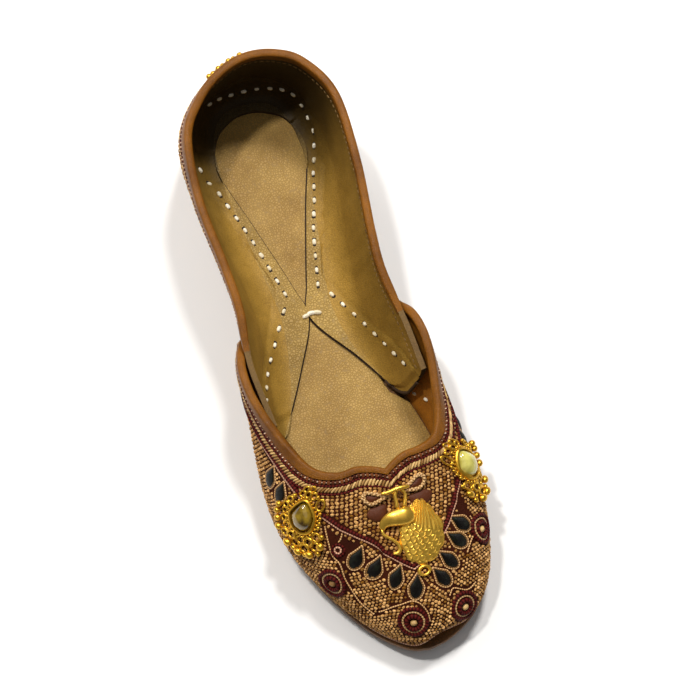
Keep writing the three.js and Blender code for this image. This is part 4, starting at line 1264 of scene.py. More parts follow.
maroon_cord = wound_cord("maroon cord", (0.024, 0.001, 0.001, 1), (0.11, 0.011, 0.008, 1),
                         pitch=1.3 * MM, roughness=0.6, specular_ior_level=0.08)
chain_thread = thread("chain thread", (0.05, 0.01, 0.004, 1), (0.2, 0.06, 0.016, 1),
                      roughness=0.55, specular_ior_level=0.15)
knot_thread = thread("chain knots", (0.4, 0.2, 0.11, 1), (0.85, 0.6, 0.42, 1), roughness=0.45)
braid_thread = thread("beige braid", (0.24, 0.11, 0.024, 1), (0.72, 0.47, 0.18, 1),
                      roughness=0.45, specular_ior_level=0.4)
BEAD_PAD = pad_shape("bead_pad", stations=2, sides=5)
for edge, wall in (("throat", THROAT), ("collar", COLLAR)):
    chain = [trim_row(wall, CHAIN_STEP, CHAIN_PITCH)]
    keep(stitches_on(edge + "_chain", BEAD_PAD, chain, chain_thread, CHAIN_STITCH), "brocade")
    knots = [trim_row(wall, CHAIN_STEP, CHAIN_PITCH, stagger=0.5)]
    keep(stitches_on(edge + "_chain_knots", BEAD_PAD, knots, knot_thread, CHAIN_KNOT), "brocade")
    braid = [trim_row(wall, BRAID_STEP, BRAID_PITCH, BRAID_SLANT)]
    keep(stitches_on(edge + "_braid", LONG_PAD, braid, braid_thread, BRAID_STRAND, -STITCH_SINK), "brocade")
    trim_paths = [trim_path(wall, step, COUCHED * TRIM_CORD_RADIUS) for step in TRIM_CORD_STEPS]
    keep(cords(edge + "_cords", trim_paths, TRIM_CORD_RADIUS, maroon_cord, THIN_SIDES), "brocade")

# Embroidered outlines
# Two maroon cords that fall from the wings to a point under the pendant, each with a pink line below it,
# with thin gold cords in waves between the motifs and a pink line round the foot, all couched on the cloth.
POINT_CORD_RADIUS = 0.75 * MM
PINK_LINE_RADIUS = 0.36 * MM
PINK_LINE_GAP = 1.3 * MM
GOLD_LINE_RADIUS = 0.3 * MM
PIPING_SHARE = 0.035
PIPING_START = 0.25
PIPING_STEP = 0.5
ROUTE_SAMPLES = 40
ROUTE_THINNING = 4
ROUTE_STEP = 0.5 * MM
# Routes as (place, share) on the vamp.
POINT_CORD_LATERAL = [
    (9.2, 0.59), (9.75, 0.642), (10.2, 0.672), (10.64, 0.705), (10.95, 0.733), (11.35, 0.757),
    (12.2, 0.785), (12.85, 0.78), (13.55, 0.765), (14.3, 0.735), (15.2, 0.69), (16.4, 0.62)]
POINT_CORD_MEDIAL = [
    (9.2, 0.59), (8.5, 0.625), (8.04, 0.642), (7.56, 0.655), (7.22, 0.674), (6.84, 0.693), (6.48, 0.705),
    (6.0, 0.745), (5.2, 0.72), (4.3, 0.69), (3.4, 0.66), (2.4, 0.62), (1.6, 0.58)]
GOLD_LINES = [
    [(11.35, 0.702), (11.28, 0.628), (11.2, 0.559), (11.06, 0.53), (10.99, 0.456), (10.91, 0.4),
     (10.79, 0.33), (10.57, 0.281)],
    [(10.49, 0.315), (10.15, 0.379), (9.78, 0.419), (9.54, 0.428), (9.34, 0.4), (9.23, 0.34), (9.24, 0.27)],
    [(8.53, 0.376), (8.34, 0.401), (8.04, 0.334), (7.7, 0.315)],
    [(6.83, 0.55), (6.86, 0.488), (7.22, 0.487), (7.52, 0.473)],
    [(10.97, 0.705), (11.0, 0.675), (11.06, 0.65)],
]


def vamp_path(route, radius, drop=0.0):
    """A path on the vamp through (place, share) corners, for a couched cord, moved down by a drop."""
    table = np.asarray(route, float)
    dense = row_at(table, np.linspace(0, len(table) - 1, ROUTE_SAMPLES * len(table)))
    position, normal, upward = vamp_frames(dense[:, 0], dense[:, 1])
    return smooth_path((position + COUCHED * radius * normal - drop * upward)[::ROUTE_THINNING], ROUTE_STEP)


pink_line = wound_cord("pink line", (0.32, 0.13, 0.07, 1), (0.82, 0.46, 0.28, 1),
                       pitch=1.0 * MM, roughness=0.5)
gold_line = wound_cord("gold line", (0.36, 0.17, 0.045, 1), (0.86, 0.52, 0.22, 1),
                       pitch=1.0 * MM, roughness=0.5)
point_routes = [POINT_CORD_LATERAL, POINT_CORD_MEDIAL]
point_paths = [vamp_path(route, POINT_CORD_RADIUS) for route in point_routes]
pink_paths = [vamp_path(route, PINK_LINE_RADIUS, PINK_LINE_GAP) for route in point_routes]
gold_paths = [vamp_path(route, GOLD_LINE_RADIUS) for route in GOLD_LINES]
keep(cords("point_cords", point_paths, POINT_CORD_RADIUS, maroon_cord), "brocade")
keep(cords("pink_lines", pink_paths, PINK_LINE_RADIUS, pink_line, THIN_SIDES), "brocade")
keep(cords("gold_lines", gold_paths, GOLD_LINE_RADIUS, gold_line, THIN_SIDES), "brocade")
foot_route = [(place, PIPING_SHARE) for place in np.arange(PIPING_START, VAMP_LAST, PIPING_STEP)]
piping_paths = [vamp_path(foot_route, PINK_LINE_RADIUS)]
keep(cords("foot_piping", piping_paths, PINK_LINE_RADIUS, pink_line, THIN_SIDES), "brocade")

# Round motifs
# Four wheels of couched cord on the toe: a maroon ring, a beige ring, a smaller maroon ring and a beige eye.
# A small pink flower in a maroon ring fills the bare field beside the lateral jewel.
WHEEL_PLACES = [(9.67, 0.297), (8.3, 0.24), (11.26, 0.358), (6.68, 0.42)]
FLOWER_PLACE = (11.08, 0.606)
FLOWER_REACH = 3.2 * MM
WHEEL_REACH = 6.3 * MM
WHEEL_EYE = stitch_size(2.7, 2.7, 1.1, turn=0.0, spread=0.0)
RING_COUCHED = 0.35


def lay_on_wall(frames_at, flat, place, share):
    """Points given as (across, up, off the wall) in metres, laid on a wall round a place and a share."""
    tiny = 1e-3
    here, off, upward = frames_at(place, share)
    right = np.cross(upward, off)
    per_place = (frames_at(place + tiny, share)[0] - here) / tiny
    per_share = (frames_at(place, share + tiny)[0] - here) / tiny
    place_step = flat[:, 0] / (per_place @ right)
    share_step = (flat[:, 1] - place_step * (per_place @ upward)) / (per_share @ upward)
    laid, normal, _ = frames_at(place + place_step, share + share_step)
    return laid + flat[:, 2:] * normal


def ring_points(radius, lift, count=48):
    angle = np.linspace(0, 2 * np.pi, count + 1)
    return np.stack([radius * np.cos(angle), radius * np.sin(angle), np.full_like(angle, lift)], -1)


def closed_path(points):
    return np.vstack([points[:-1], points[:1]])


def wheel_rings(radius, cord_radius, spots):
    flat = ring_points(radius, RING_COUCHED * cord_radius)
    return [closed_path(lay_on_wall(vamp_frames, flat, *spot)) for spot in spots]


beige_line = wound_cord("beige line", (0.34, 0.17, 0.05, 1), (0.78, 0.5, 0.22, 1),
                        pitch=1.1 * MM, roughness=0.45)
# Rings as name, places, radius, the cord's radius and its finish.
MOTIF_RINGS = [
    ("wheel_maroon_a", WHEEL_PLACES, 5.45 * MM, 0.8 * MM, maroon_cord),
    ("wheel_maroon_b", WHEEL_PLACES, 2.75 * MM, 0.9 * MM, maroon_cord),
    ("wheel_beige", WHEEL_PLACES, 4.2 * MM, 0.42 * MM, beige_line),
    ("flower_rim", [FLOWER_PLACE], 2.3 * MM, 0.5 * MM, maroon_cord),
    ("flower", [FLOWER_PLACE], 1.25 * MM, 0.4 * MM, pink_line),
]
for name, spots, radius, cord_radius, finish in MOTIF_RINGS:
    keep(cords(name, wheel_rings(radius, cord_radius, spots), cord_radius, finish), "brocade")
eye_row = stitch_places(vamp_frames, *np.transpose(WHEEL_PLACES))
keep(stitches_on("wheel_eyes", LONG_PAD, [eye_row], braid_thread, WHEEL_EYE), "brocade")

# Drops
# Padded drops of black silk in satin stitch that fan out below the pendant and hang beside the jewels, each
# with a brown rim and a gold line couched round it.
DROP_WIDTH = 4.8 * MM
DROP_LENGTH = 8.8 * MM
DROP_TAPER = 0.72
DROP_DOME = 0.8 * MM
DROP_LIFT = MM * np.array([0, 0, 0.22])
DROP_RIM = 0.32 * MM
DROP_RIM_GAP = 0.8 * DROP_RIM
DROP_GOLD = 0.28 * MM
DROP_GOLD_GAP = 0.8 * MM
DROP_LINE_LIFT = 0.1 * MM
DROP_LINE_POINTS = 40
DROP_PAD_POINTS = 36
# Places and shares on the vamp, and how far each drop's point is turned to the lateral side, in degrees.
FANNED_DROPS = [(9.32, 0.494, -23), (9.83, 0.546, -37), (10.43, 0.566, -35), (10.77, 0.595, -32),
                (8.49, 0.487, 21), (8.08, 0.534, 26), (7.55, 0.562, 29), (7.22, 0.592, 29)]
HANGING_DROPS = [(12.53, 0.635, 0), (13.02, 0.618, 0), (5.1, 0.62, 0), (4.6, 0.59, 0)]


def drop_outline(width, length, taper, count):
    """An oval with its upper end drawn to a point, counter-clockwise from the point."""
    angle = full_turn(count)
    narrow = 1 - taper * np.maximum(0, np.cos(angle))
    return np.stack([-width / 2 * np.sin(angle) * narrow, length / 2 * np.cos(angle)], -1)


def turned(flat, angle):
    c, s = math.cos(angle), math.sin(angle)
    return np.column_stack([c * flat[:, 0] - s * flat[:, 1], s * flat[:, 0] + c * flat[:, 1], flat[:, 2:]])


def dome_mesh(outline, dome, foot=0.0, rings=7):
    """A domed pad over an outline, as (vertices, faces) with the outline as its foot."""
    turn = np.linspace(0, np.pi / 2, rings + 1)[:-1]
    levels = [with_height(outline * np.cos(a), foot + dome * np.sin(a)) for a in turn]
    centre = np.array([[0, 0, foot + dome]])
    count = len(outline)
    faces = loft_faces(rings, count)
    top, last = rings * count, (rings - 1) * count
    faces += [[last + i, last + (i + 1) % count, top] for i in range(count)]
    faces.append(list(range(count))[::-1])
    return np.vstack(levels + [centre]), faces


def satin_silk():
    """Black silk with a painted dark green glint in its colour, its threads lying side by side."""
    material, tree, shader = new_material("black silk", roughness=0.5, specular_ior_level=0.2)
    painted_glint = ramp(tree, noise(tree, scale=420.0, detail=3.0), 0.5, 0.75)
    sheen = mix_colour(tree, painted_glint, (0.003, 0.002, 0.001, 1), (0.01, 0.014, 0.006, 1))
    tree.links.new(sheen, shader.inputs["Base Color"])
    place = node(tree, "ShaderNodeTexCoord").outputs["Object"]
    threads = node(tree, "ShaderNodeTexWave", {"Vector": place, "Scale": 900.0, "Distortion": 2.0})
    add_bump(tree, shader, threads.outputs["Fac"], strength=0.5, distance=0.0002)
    return material


drop_spots = [((place, share), math.radians(turn)) for place, share, turn in FANNED_DROPS + HANGING_DROPS]


def drop_paths(margin, lift):
    outline = drop_outline(DROP_WIDTH + 2 * margin, DROP_LENGTH + 2 * margin, DROP_TAPER, DROP_LINE_POINTS)
    flat = with_height(np.vstack([outline, outline[:1]]), lift)
    return [closed_path(lay_on_wall(vamp_frames, turned(flat, angle), *spot)) for spot, angle in drop_spots]


drop_pad, drop_faces = dome_mesh(
    drop_outline(DROP_WIDTH, DROP_LENGTH, DROP_TAPER, DROP_PAD_POINTS), DROP_DOME)
drop_parts = [(lay_on_wall(vamp_frames, turned(drop_pad + DROP_LIFT, angle), *spot), drop_faces)
              for spot, angle in drop_spots]
keep(mesh_object("silk_drops", *joined(drop_parts), satin_silk()), "brocade")
brown_rim = wound_cord("brown rim", (0.1, 0.04, 0.006, 1), (0.26, 0.12, 0.02, 1),
                       pitch=0.8 * MM, roughness=0.5)
rim_paths = drop_paths(DROP_RIM_GAP, DROP_LINE_LIFT)
keep(cords("drop_rims", rim_paths, DROP_RIM, brown_rim, THIN_SIDES), "brocade")
drop_gold_paths = drop_paths(DROP_GOLD_GAP, DROP_LINE_LIFT)
keep(cords("drop_gold_lines", drop_gold_paths, DROP_GOLD, gold_line, THIN_SIDES), "brocade")

# Ground embroidery
# The whole ground between the motifs and round the quarter, filled with short pads of pink-gold thread sewn
# in staggered rows, coarser between the throat and the falling cords than on the toe.
GROUND_STITCH = stitch_size(1.6, 1.05, 0.65, turn=0.4, spread=0.24)
PANEL_STITCH = stitch_size(1.95, 1.15, 0.75, turn=0.4, spread=0.22)
GROUND_SINK = 0.05 * MM
GROUND_REACH = 120 * MM
LEAST_RUN = 8
GROUND_PITCH = (1.6 * MM, 1.28 * MM)
PANEL_PITCH = (1.85 * MM, 1.4 * MM)
QUARTER_PITCH = (2.0 * MM, 1.55 * MM)
GROUND_SLANT = math.radians(33)
CORD_CLEAR = 0.95 * MM
FOOT_MARGIN = 0.06
# Corners of two bare satin fields beside the falling cords, as (place, share).
BARE_FIELDS = [
    [(11.28, 0.709), (10.68, 0.665), (10.89, 0.612), (11.1, 0.531), (11.22, 0.581)],
    [(6.71, 0.669), (6.72, 0.56), (7.04, 0.601), (7.08, 0.657)],
]


def inside_polygon(points, corners):
    """Which points lie inside a polygon, by counting the edges crossed."""
    crossings = np.zeros(len(points), int)
    for (ax, ay), (bx, by) in zip(corners, corners[1:] + corners[:1]):
        spans = (points[:, 1] < ay) != (points[:, 1] < by)
        level = np.where(by == ay, 1e-9, by - ay)
        crossings += spans & (points[:, 0] < ax + (points[:, 1] - ay) * (bx - ax) / level)
    return crossings % 2 == 1


def kd_tree(points):
    tree = KDTree(len(points))
    for index, place in enumerate(points):
        tree.insert(place, index)
    tree.balance()
    return tree


def lattice(wall, pitch, slant):
    """Staggered rows of stitch places down a wall from its trim: places, shares and slants."""
    frames_at, place = wall[0], wall[-1]
    steps = np.arange(TRIM_WIDTH, GROUND_REACH, pitch[1])
    share = lines_under_hem(wall, steps)
    rows = []
    for number in range(len(steps)):
        valid = np.flatnonzero(share[:, number] > FOOT_MARGIN)
        for run in np.split(valid, np.flatnonzero(np.diff(valid) > 1) + 1):
            if len(run) > LEAST_RUN:
                position, _, _ = frames_at(place[run], share[run, number])
                spots = even_places(position, place[run], share[run, number], pitch[0], 0.5 * (number % 2))
                rows.append((*spots, np.full(len(spots[0]), slant if number % 2 else -slant)))
    return [np.concatenate(column) for column in zip(*rows)]


def clear_of(points, tree, gap):
    return np.array([tree.find(p)[2] > gap for p in points])


cord_points = kd_tree(np.vstack(point_paths + pink_paths + gold_paths + drop_paths(DROP_GOLD_GAP, 0)))
motif_places = np.array(WHEEL_PLACES + [FLOWER_PLACE] + [spot for spot, _ in drop_spots])
motif_middles = vamp_frames(motif_places[:, 0], motif_places[:, 1])[0]
motif_reach = np.array(
    [WHEEL_REACH] * len(WHEEL_PLACES) + [FLOWER_REACH] + [DROP_WIDTH / 2] * len(drop_spots))
point_cord = np.array(sorted(POINT_CORD_MEDIAL + POINT_CORD_LATERAL))


def open_ground(place, share):
    """Where the ground stitches go: off the motifs, cords and bare fields."""
    position, _, _ = vamp_frames(place, share)
    near = np.linalg.norm(position[:, None] - motif_middles[None], axis=-1) < motif_reach[None]
    free = ~near.any(axis=1) & clear_of(position, cord_points, CORD_CLEAR)
    for field in BARE_FIELDS:
        free &= ~inside_polygon(np.column_stack([place, share]), field)
    return free


def ground_stitches(name, sizes, pitch, in_panel, seed):
    place, share, slant = lattice(THROAT, pitch, GROUND_SLANT)
    above = share > np.interp(place, point_cord[:, 0], point_cord[:, 1])
    kept = (above == in_panel) & open_ground(place, share)
    row = stitch_places(vamp_frames, place[kept], share[kept], slant[kept])
    keep(stitches_on(name, BEAD_PAD, [row], ground_thread, sizes, -GROUND_SINK, seed), "brocade")


ground_thread = thread("pink gold thread", (0.22, 0.085, 0.006, 1), (0.84, 0.48, 0.17, 1),
                       roughness=0.45, specular_ior_level=0.25)
ground_stitches("ground_toe", GROUND_STITCH, GROUND_PITCH, in_panel=False, seed=3)
ground_stitches("ground_panel", PANEL_STITCH, PANEL_PITCH, in_panel=True, seed=4)
quarter_ground = stitch_places(quarter_frames, *lattice(COLLAR, QUARTER_PITCH, GROUND_SLANT))
quarter_pads = stitches_on(
    "ground_quarter", BEAD_PAD, [quarter_ground], ground_thread, PANEL_STITCH, -GROUND_SINK, seed=5)
keep(quarter_pads, "brocade")

# Bow
# Two loops of twisted beige cord filled with maroon satin over two short satin tails, sewn on the instep and
# tied by a short wrap that the pendant's bail crosses.
BOW_PLACE = (8.93, 0.873)
BOW_START = 2.6 * MM
BOW_LOOP_LENGTH = 8.6 * MM
BOW_LOOP_WIDTH = 6.6 * MM
BOW_FULLNESS = 1.4
BOW_NECK = 0.45
BOW_CORD_RADIUS = 0.72 * MM
BOW_CORD_STEP = 0.22 * MM
BOW_STRAND_RADIUS = 0.62 * BOW_CORD_RADIUS
BOW_STRAND_OFFSET = 0.55 * BOW_CORD_RADIUS
BOW_TWIST = 2.8 * MM
BOW_CORD_LAYERS = (0.75 * MM, 1.7 * MM)
BOW_SATIN_DOME = 1.5 * MM
BOW_SATIN_INSET = 1.3 * BOW_CORD_RADIUS
BOW_SATIN_MIDDLE = BOW_START + 0.62 * BOW_LOOP_LENGTH
BOW_TAIL_WIDTH = 5.6 * MM
BOW_TAIL_LENGTH = 9 * MM
BOW_TAIL_TAPER = 0.4
BOW_TAIL_POINTS = 40
BOW_TAIL_MIDDLE = MM * np.array([7.2, -6.4, 0])
BOW_TAIL_TURN = math.radians(42)
BOW_TAIL_DOME = 1.1 * MM
KNOT_WRAP = stitch_size(2.6, 1.0, 0.75, turn=0.08, spread=0.06)
KNOT_REACH = 3.4 * MM
KNOT_TURNS = 8


def bow_loop(side, inset, count=64):
    """Outline of one loop, narrow at the knot and round at its far end."""
    angle = full_turn(count)
    swell = BOW_FULLNESS * np.sin(angle) * (1 - BOW_NECK - BOW_NECK * np.cos(angle))
    across = BOW_START + inset + (BOW_LOOP_LENGTH / 2 - inset) * (1 - np.cos(angle))
    return np.stack([side * across, -side * (BOW_LOOP_WIDTH / 2 - inset) * swell], -1)


def twisted_strands(path, offset, pitch, strands=2):
    """Strands that wind round a path of (across, up, off the wall) points at an offset from it."""
    run = run_along(path)
    turns = max(1, round(run[-1] / pitch))
    angle = 2 * np.pi * turns * run / run[-1]
    travel = unit(np.gradient(path, axis=0))
    aside = unit(np.cross(travel, UP))
    wound = []
    for strand in range(strands):
        turn = (angle + 2 * np.pi * strand / strands)[:, None]
        wound.append(path + offset * (np.cos(turn) * aside + np.sin(turn) * UP))
    return wound


def bow_cords():
    """Twisted cords along both loops in two layers, laid on the vamp."""
    paths = []
    for side in (-1, 1):
        outline = bow_loop(side, BOW_CORD_RADIUS)
        for height in BOW_CORD_LAYERS:
            loop = with_height(outline, height)
            dense = smooth_path(np.vstack([loop, loop[:1]]), BOW_CORD_STEP)
            for strand in twisted_strands(dense, BOW_STRAND_OFFSET, BOW_TWIST):
                paths.append(lay_on_wall(vamp_frames, strand, *BOW_PLACE))
    return paths


def laid_parts(frames_at, parts, spot):
    """Parts in flat coordinates laid on a wall together."""
    return joined([(lay_on_wall(frames_at, vertices, *spot), faces) for vertices, faces in parts])


def bow_satin():
    """A padded fill for each loop, and a tail that hangs below it."""
    parts = []
    tail_outline = drop_outline(BOW_TAIL_WIDTH, BOW_TAIL_LENGTH, BOW_TAIL_TAPER, BOW_TAIL_POINTS)
    for side in (-1, 1):
        outline = bow_loop(side, BOW_SATIN_INSET)
        middle = np.array([side * BOW_SATIN_MIDDLE, 0, 0])
        pad, faces = dome_mesh(outline - middle[:2], BOW_SATIN_DOME, CLEARANCE)
        parts.append((pad + middle, faces))
        tail, faces = dome_mesh(tail_outline, BOW_TAIL_DOME, CLEARANCE)
        parts.append((turned(tail, side * BOW_TAIL_TURN) + BOW_TAIL_MIDDLE * np.array([side, 1, 1]), faces))
    return laid_parts(vamp_frames, parts, BOW_PLACE)


def woven_satin(name, dark, light):
    """Satin with a soft sheen and fine threads."""
    material, tree, shader = new_material(name, roughness=0.42, specular_ior_level=0.2)
    cloth = node(tree, "ShaderNodeGroup", node_tree=BROCADE_GROUND)
    tree.links.new(mix_colour(tree, cloth.outputs["Dye"], dark, light), shader.inputs["Base Color"])
    add_bump(tree, shader, cloth.outputs["Height"], strength=0.3, distance=0.0002)
    return material


def knot_row():
    """Strands side by side across the knot."""
    flat = np.column_stack([np.linspace(-KNOT_REACH, KNOT_REACH, KNOT_TURNS), np.zeros(KNOT_TURNS),
                            np.full(KNOT_TURNS, CLEARANCE)])
    points = lay_on_wall(vamp_frames, flat, *BOW_PLACE)
    _, normal, upward = vamp_frames(np.full(KNOT_TURNS, BOW_PLACE[0]), np.full(KNOT_TURNS, BOW_PLACE[1]))
    return points, upward, normal


maroon_satin = woven_satin("maroon satin", (0.04, 0.006, 0.003, 1), (0.14, 0.04, 0.012, 1))
keep(cords("bow_cord", bow_cords(), BOW_STRAND_RADIUS, beige_line, THIN_SIDES), "ribbon", "bow")
keep(mesh_object("bow_satin", *bow_satin(), maroon_satin), "ribbon")
keep(stitches_on("bow_knot", LONG_PAD, [knot_row()], braid_thread, KNOT_WRAP), "ribbon")

# Pendant
# A peacock pressed and engraved in gilt brass: a tail of long barbs and scales with a scalloped edge, a
# polished neck that thins to a curl, and a bail and a wire ring by which it is sewn on.
PENDANT_PLACE = (8.6, 0.69)
TAIL_WIDTH = 18 * MM
TAIL_LENGTH = 26 * MM
TAIL_TAPER = 0.45
TAIL_MIDDLE = MM * np.array([1.2, 1.4])
TAIL_TURN = math.radians(-21)
TAIL_LOBES = 11
TAIL_SCALLOP = 0.08
LOBE_ROUNDNESS = 0.6
TAIL_EDGE = 0.06
TAIL_EDGE_THICKNESS = 0.75
TAIL_THICKNESS = 1.2 * MM
TAIL_DOME = 0.6 * MM
TAIL_AROUND = 216
TAIL_RINGS = 72
SCALE_ROW = 2.3 * MM
SCALE_WIDTH = 2.5 * MM
SCALE_RELIEF = 0.42 * MM
SCALE_WEIGHT = 0.45
SCALE_LEAST_REACH = 6 * MM
SCALE_TIP = (3, -0.2, 0.4)
RIM_WEIGHT = 0.5
RIM_WIDTH = 0.16
FAN_ROOT = np.array([0, 0.62 * TAIL_LENGTH])
BARBS = 9
BARB_SWEEP = 2.2
BARB_WEIGHT = 0.9
BARB_LEAN = 0.35
BARB_FADE = (0.02, 0.12)
NECK_ROUTE = MM * np.array([(1.5, 8.8), (-3.2, 9.3), (-8.3, 8.9), (-12, 7.1), (-13.3, 4.6)])
NECK_RADII = MM * np.array([2.6, 3.3, 2.7, 1.5, 0.9])
NECK_FLATNESS = 0.62
CURL_ROUTE = MM * np.array([(-13.2, 5), (-13.1, 3.3), (-12, 2.3), (-10.5, 1.3), (-9.1, -0.4), (-8.9, -2.3),
                            (-10, -4), (-11.8, -4.4)])
CURL_RADIUS = 0.7 * MM
RING_BOTTOM = MM * np.array([-3.3, -13.2])
RING_RADIUS = 1.9 * MM
RING_WIRE = 0.6 * MM
BAIL_LIFT = 1.5 * MM
BAIL_PRONGS = [MM * np.array([(-5.4, 12.2), (-4.7, 15.2), (-4.4, 17.2), (-2.6, 18.8)]),
               MM * np.array([(-2.4, 12.2), (-0.4, 14.6), (0.5, 17), (-1.2, 18.9)])]
BAIL_BAR = MM * np.array([(-10, 18.2), (-6.6, 18.4), (-2.9, 19), (1.2, 18.9), (3.6, 18.6)])
BAIL_RADIUS = 0.82 * MM
BAIL_BAR_RADII = BAIL_RADIUS * np.array([0.6, 0.9, 1, 0.9, 0.6])
TUBE_END_POWER = 12
TUBE_END_LEAST = 0.02


def scales(flat):
    """Relief of the fan: long curved barbs near the neck, then rows of lapping scales with raised rims."""
    away = FAN_ROOT - flat
    distance = np.hypot(away[:, 0], away[:, 1])
    angle = np.arctan2(-away[:, 0], away[:, 1])
    row = np.floor(distance / SCALE_ROW)
    down = distance / SCALE_ROW - row
    aside = angle * np.maximum(distance, SCALE_LEAST_REACH) / SCALE_WIDTH + 0.5 * (row % 2)
    aside = 2 * (aside - np.floor(aside)) - 1
    reach = np.sqrt(np.clip(1 - aside ** 2, 0, 1))
    steepness, low, high = SCALE_TIP
    tip = np.clip((reach - down) * steepness, -1, 1)
    rim = np.exp(-((reach - down) / RIM_WIDTH) ** 2)
    scale = SCALE_WEIGHT * smoothstep(tip, low, high) + RIM_WEIGHT * rim
    barb = np.abs(np.sin(np.pi * (BARBS * angle + BARB_SWEEP * distance / TAIL_LENGTH * (1 + angle))))
    upper = smoothstep((flat[:, 1] + BARB_LEAN * flat[:, 0]) / TAIL_LENGTH, *BARB_FADE)
    return SCALE_RELIEF * (scale + upper * (BARB_WEIGHT * barb - scale))


def tail_mesh():
    """The fan as rings of the scalloped outline: flat under, engraved and a little domed above."""
    outline = drop_outline(TAIL_WIDTH, TAIL_LENGTH, TAIL_TAPER, TAIL_AROUND)
    lobe = np.abs(np.sin(TAIL_LOBES / 2 * full_turn(TAIL_AROUND))) ** LOBE_ROUNDNESS
    outline *= (1 - TAIL_SCALLOP * (1 - lobe))[:, None]
    rings = [with_height(outline * share, CLEARANCE) for share in (0.5, 1)]
    for share in np.linspace(1, 0, TAIL_RINGS + 1)[:-1]:
        flat = outline * share
        edge = smoothstep(1 - share, 0, TAIL_EDGE)
        sheet = TAIL_THICKNESS * (TAIL_EDGE_THICKNESS + (1 - TAIL_EDGE_THICKNESS) * edge)
        rise = sheet + TAIL_DOME * (1 - share ** 2) + edge * scales(flat)
        rings.append(with_height(flat, CLEARANCE + rise - SCALE_RELIEF))
    vertices, faces = solid_from_sections(np.stack(rings))
    return turned(vertices, TAIL_TURN) + np.array([*TAIL_MIDDLE, 0]), faces


def tapered_tube(route, radii, lift, sides=14, steps=40, flatness=1.0):
    """A bar through flat points with its own radius at each, round or flattened, at a lift over the wall."""
    share = np.linspace(0, len(route) - 1, steps)
    middle = row_at(route, share)
    radius = row_at(radii[:, None], share)
    from_middle = np.abs(np.linspace(-1, 1, steps))
    rounded = np.sqrt(np.clip(1 - from_middle ** TUBE_END_POWER, TUBE_END_LEAST, 1))[:, None]
    travel = unit(np.gradient(middle, axis=0))
    aside = np.column_stack([-travel[:, 1], travel[:, 0]])
    around = full_turn(sides)
    out = (radius * rounded)[:, :, None] * np.stack([np.cos(around), np.sin(around)], -1)[None]
    plan = middle[:, None] + out[..., :1] * aside[:, None]
    height = lift + flatness * (radius + out[..., 1])
    return solid_from_sections(np.concatenate([plan, height[..., None]], -1))


def wire_ring(middle, radius, wire, lift, around=28, sides=10):
    """A closed ring of round wire, flat on the wall at a lift."""
    turn = full_turn(around)[:, None]
    side = full_turn(sides)[None]
    reach = radius + wire * np.cos(side)
    points = np.stack([middle[0] + reach * np.cos(turn), middle[1] + reach * np.sin(turn),
                       lift + wire + wire * np.sin(side) * np.ones_like(turn)], -1)
    closed = np.concatenate([points, points[:1]])
    return closed.reshape(-1, 3), loft_faces(around + 1, sides)


def gilt(name, colour, **values):
    """Gilt brass: bright where it is rubbed, duller and rougher in patches, with a fine hammered bump."""
    material, tree, shader = new_material(name, metallic=0.85, **values)
    stain = noise(tree, scale=350.0, detail=4.0)
    dull = tuple(0.8 * part for part in colour[:3]) + (1,)
    mottled = mix_colour(tree, ramp(tree, stain, 0.35, 0.62), dull, colour)
    tree.links.new(mottled, shader.inputs["Base Color"])
    tree.links.new(ramp(tree, stain, 0.0, 1.0, 0.42, 0.24), shader.inputs["Roughness"])
    add_bump(tree, shader, stain, strength=0.2, distance=0.0003)
    return material


bright_gilt = gilt("bright gilt", (1, 0.6, 0.08, 1))
pendant_parts = [
    tail_mesh(),
    tapered_tube(NECK_ROUTE, NECK_RADII, CLEARANCE, sides=24, flatness=NECK_FLATNESS),
    tapered_tube(CURL_ROUTE, np.full(len(CURL_ROUTE), CURL_RADIUS), CLEARANCE, steps=60),
    tapered_tube(BAIL_BAR, BAIL_BAR_RADII, BAIL_LIFT + BAIL_RADIUS),
    wire_ring(RING_BOTTOM, RING_RADIUS, RING_WIRE, CLEARANCE),
]
pendant_parts += [tapered_tube(prong, np.full(len(prong), BAIL_RADIUS), BAIL_LIFT, steps=24)
                  for prong in BAIL_PRONGS]
pendant_mesh = laid_parts(vamp_frames, pendant_parts, PENDANT_PLACE)
keep(mesh_object("pendant_peacock", *pendant_mesh, bright_gilt), "gilt_metal", "pendant")

# Jewels
# Two clusters of gilt brass, sewn on: a bezel soldered on a bed of wire rings, with a rosette above the
# stone, grains round it, and rings and hollow beads that hang below. The medial one mirrors the lateral one.
JEWEL_LATERAL = (11.84, 0.67)
JEWEL_MEDIAL = (5.89, 0.66)
STONE_WIDTH = 9 * MM
STONE_LENGTH = 11.5 * MM
STONE_TAPER = 0.35
STONE_DOME = 3.4 * MM
BEZEL_RIM = 1.3 * MM
BEZEL_HEIGHT = 1.8 * MM
JEWEL_WIRE = 0.5 * MM
JEWEL_GRAINS = 30
JEWEL_GRAIN = 0.55 * MM
JEWEL_GRAIN_GAP = 0.7 * MM
JEWEL_GRAIN_HEIGHT = 0.8 * MM
STONE_POINTS = 72
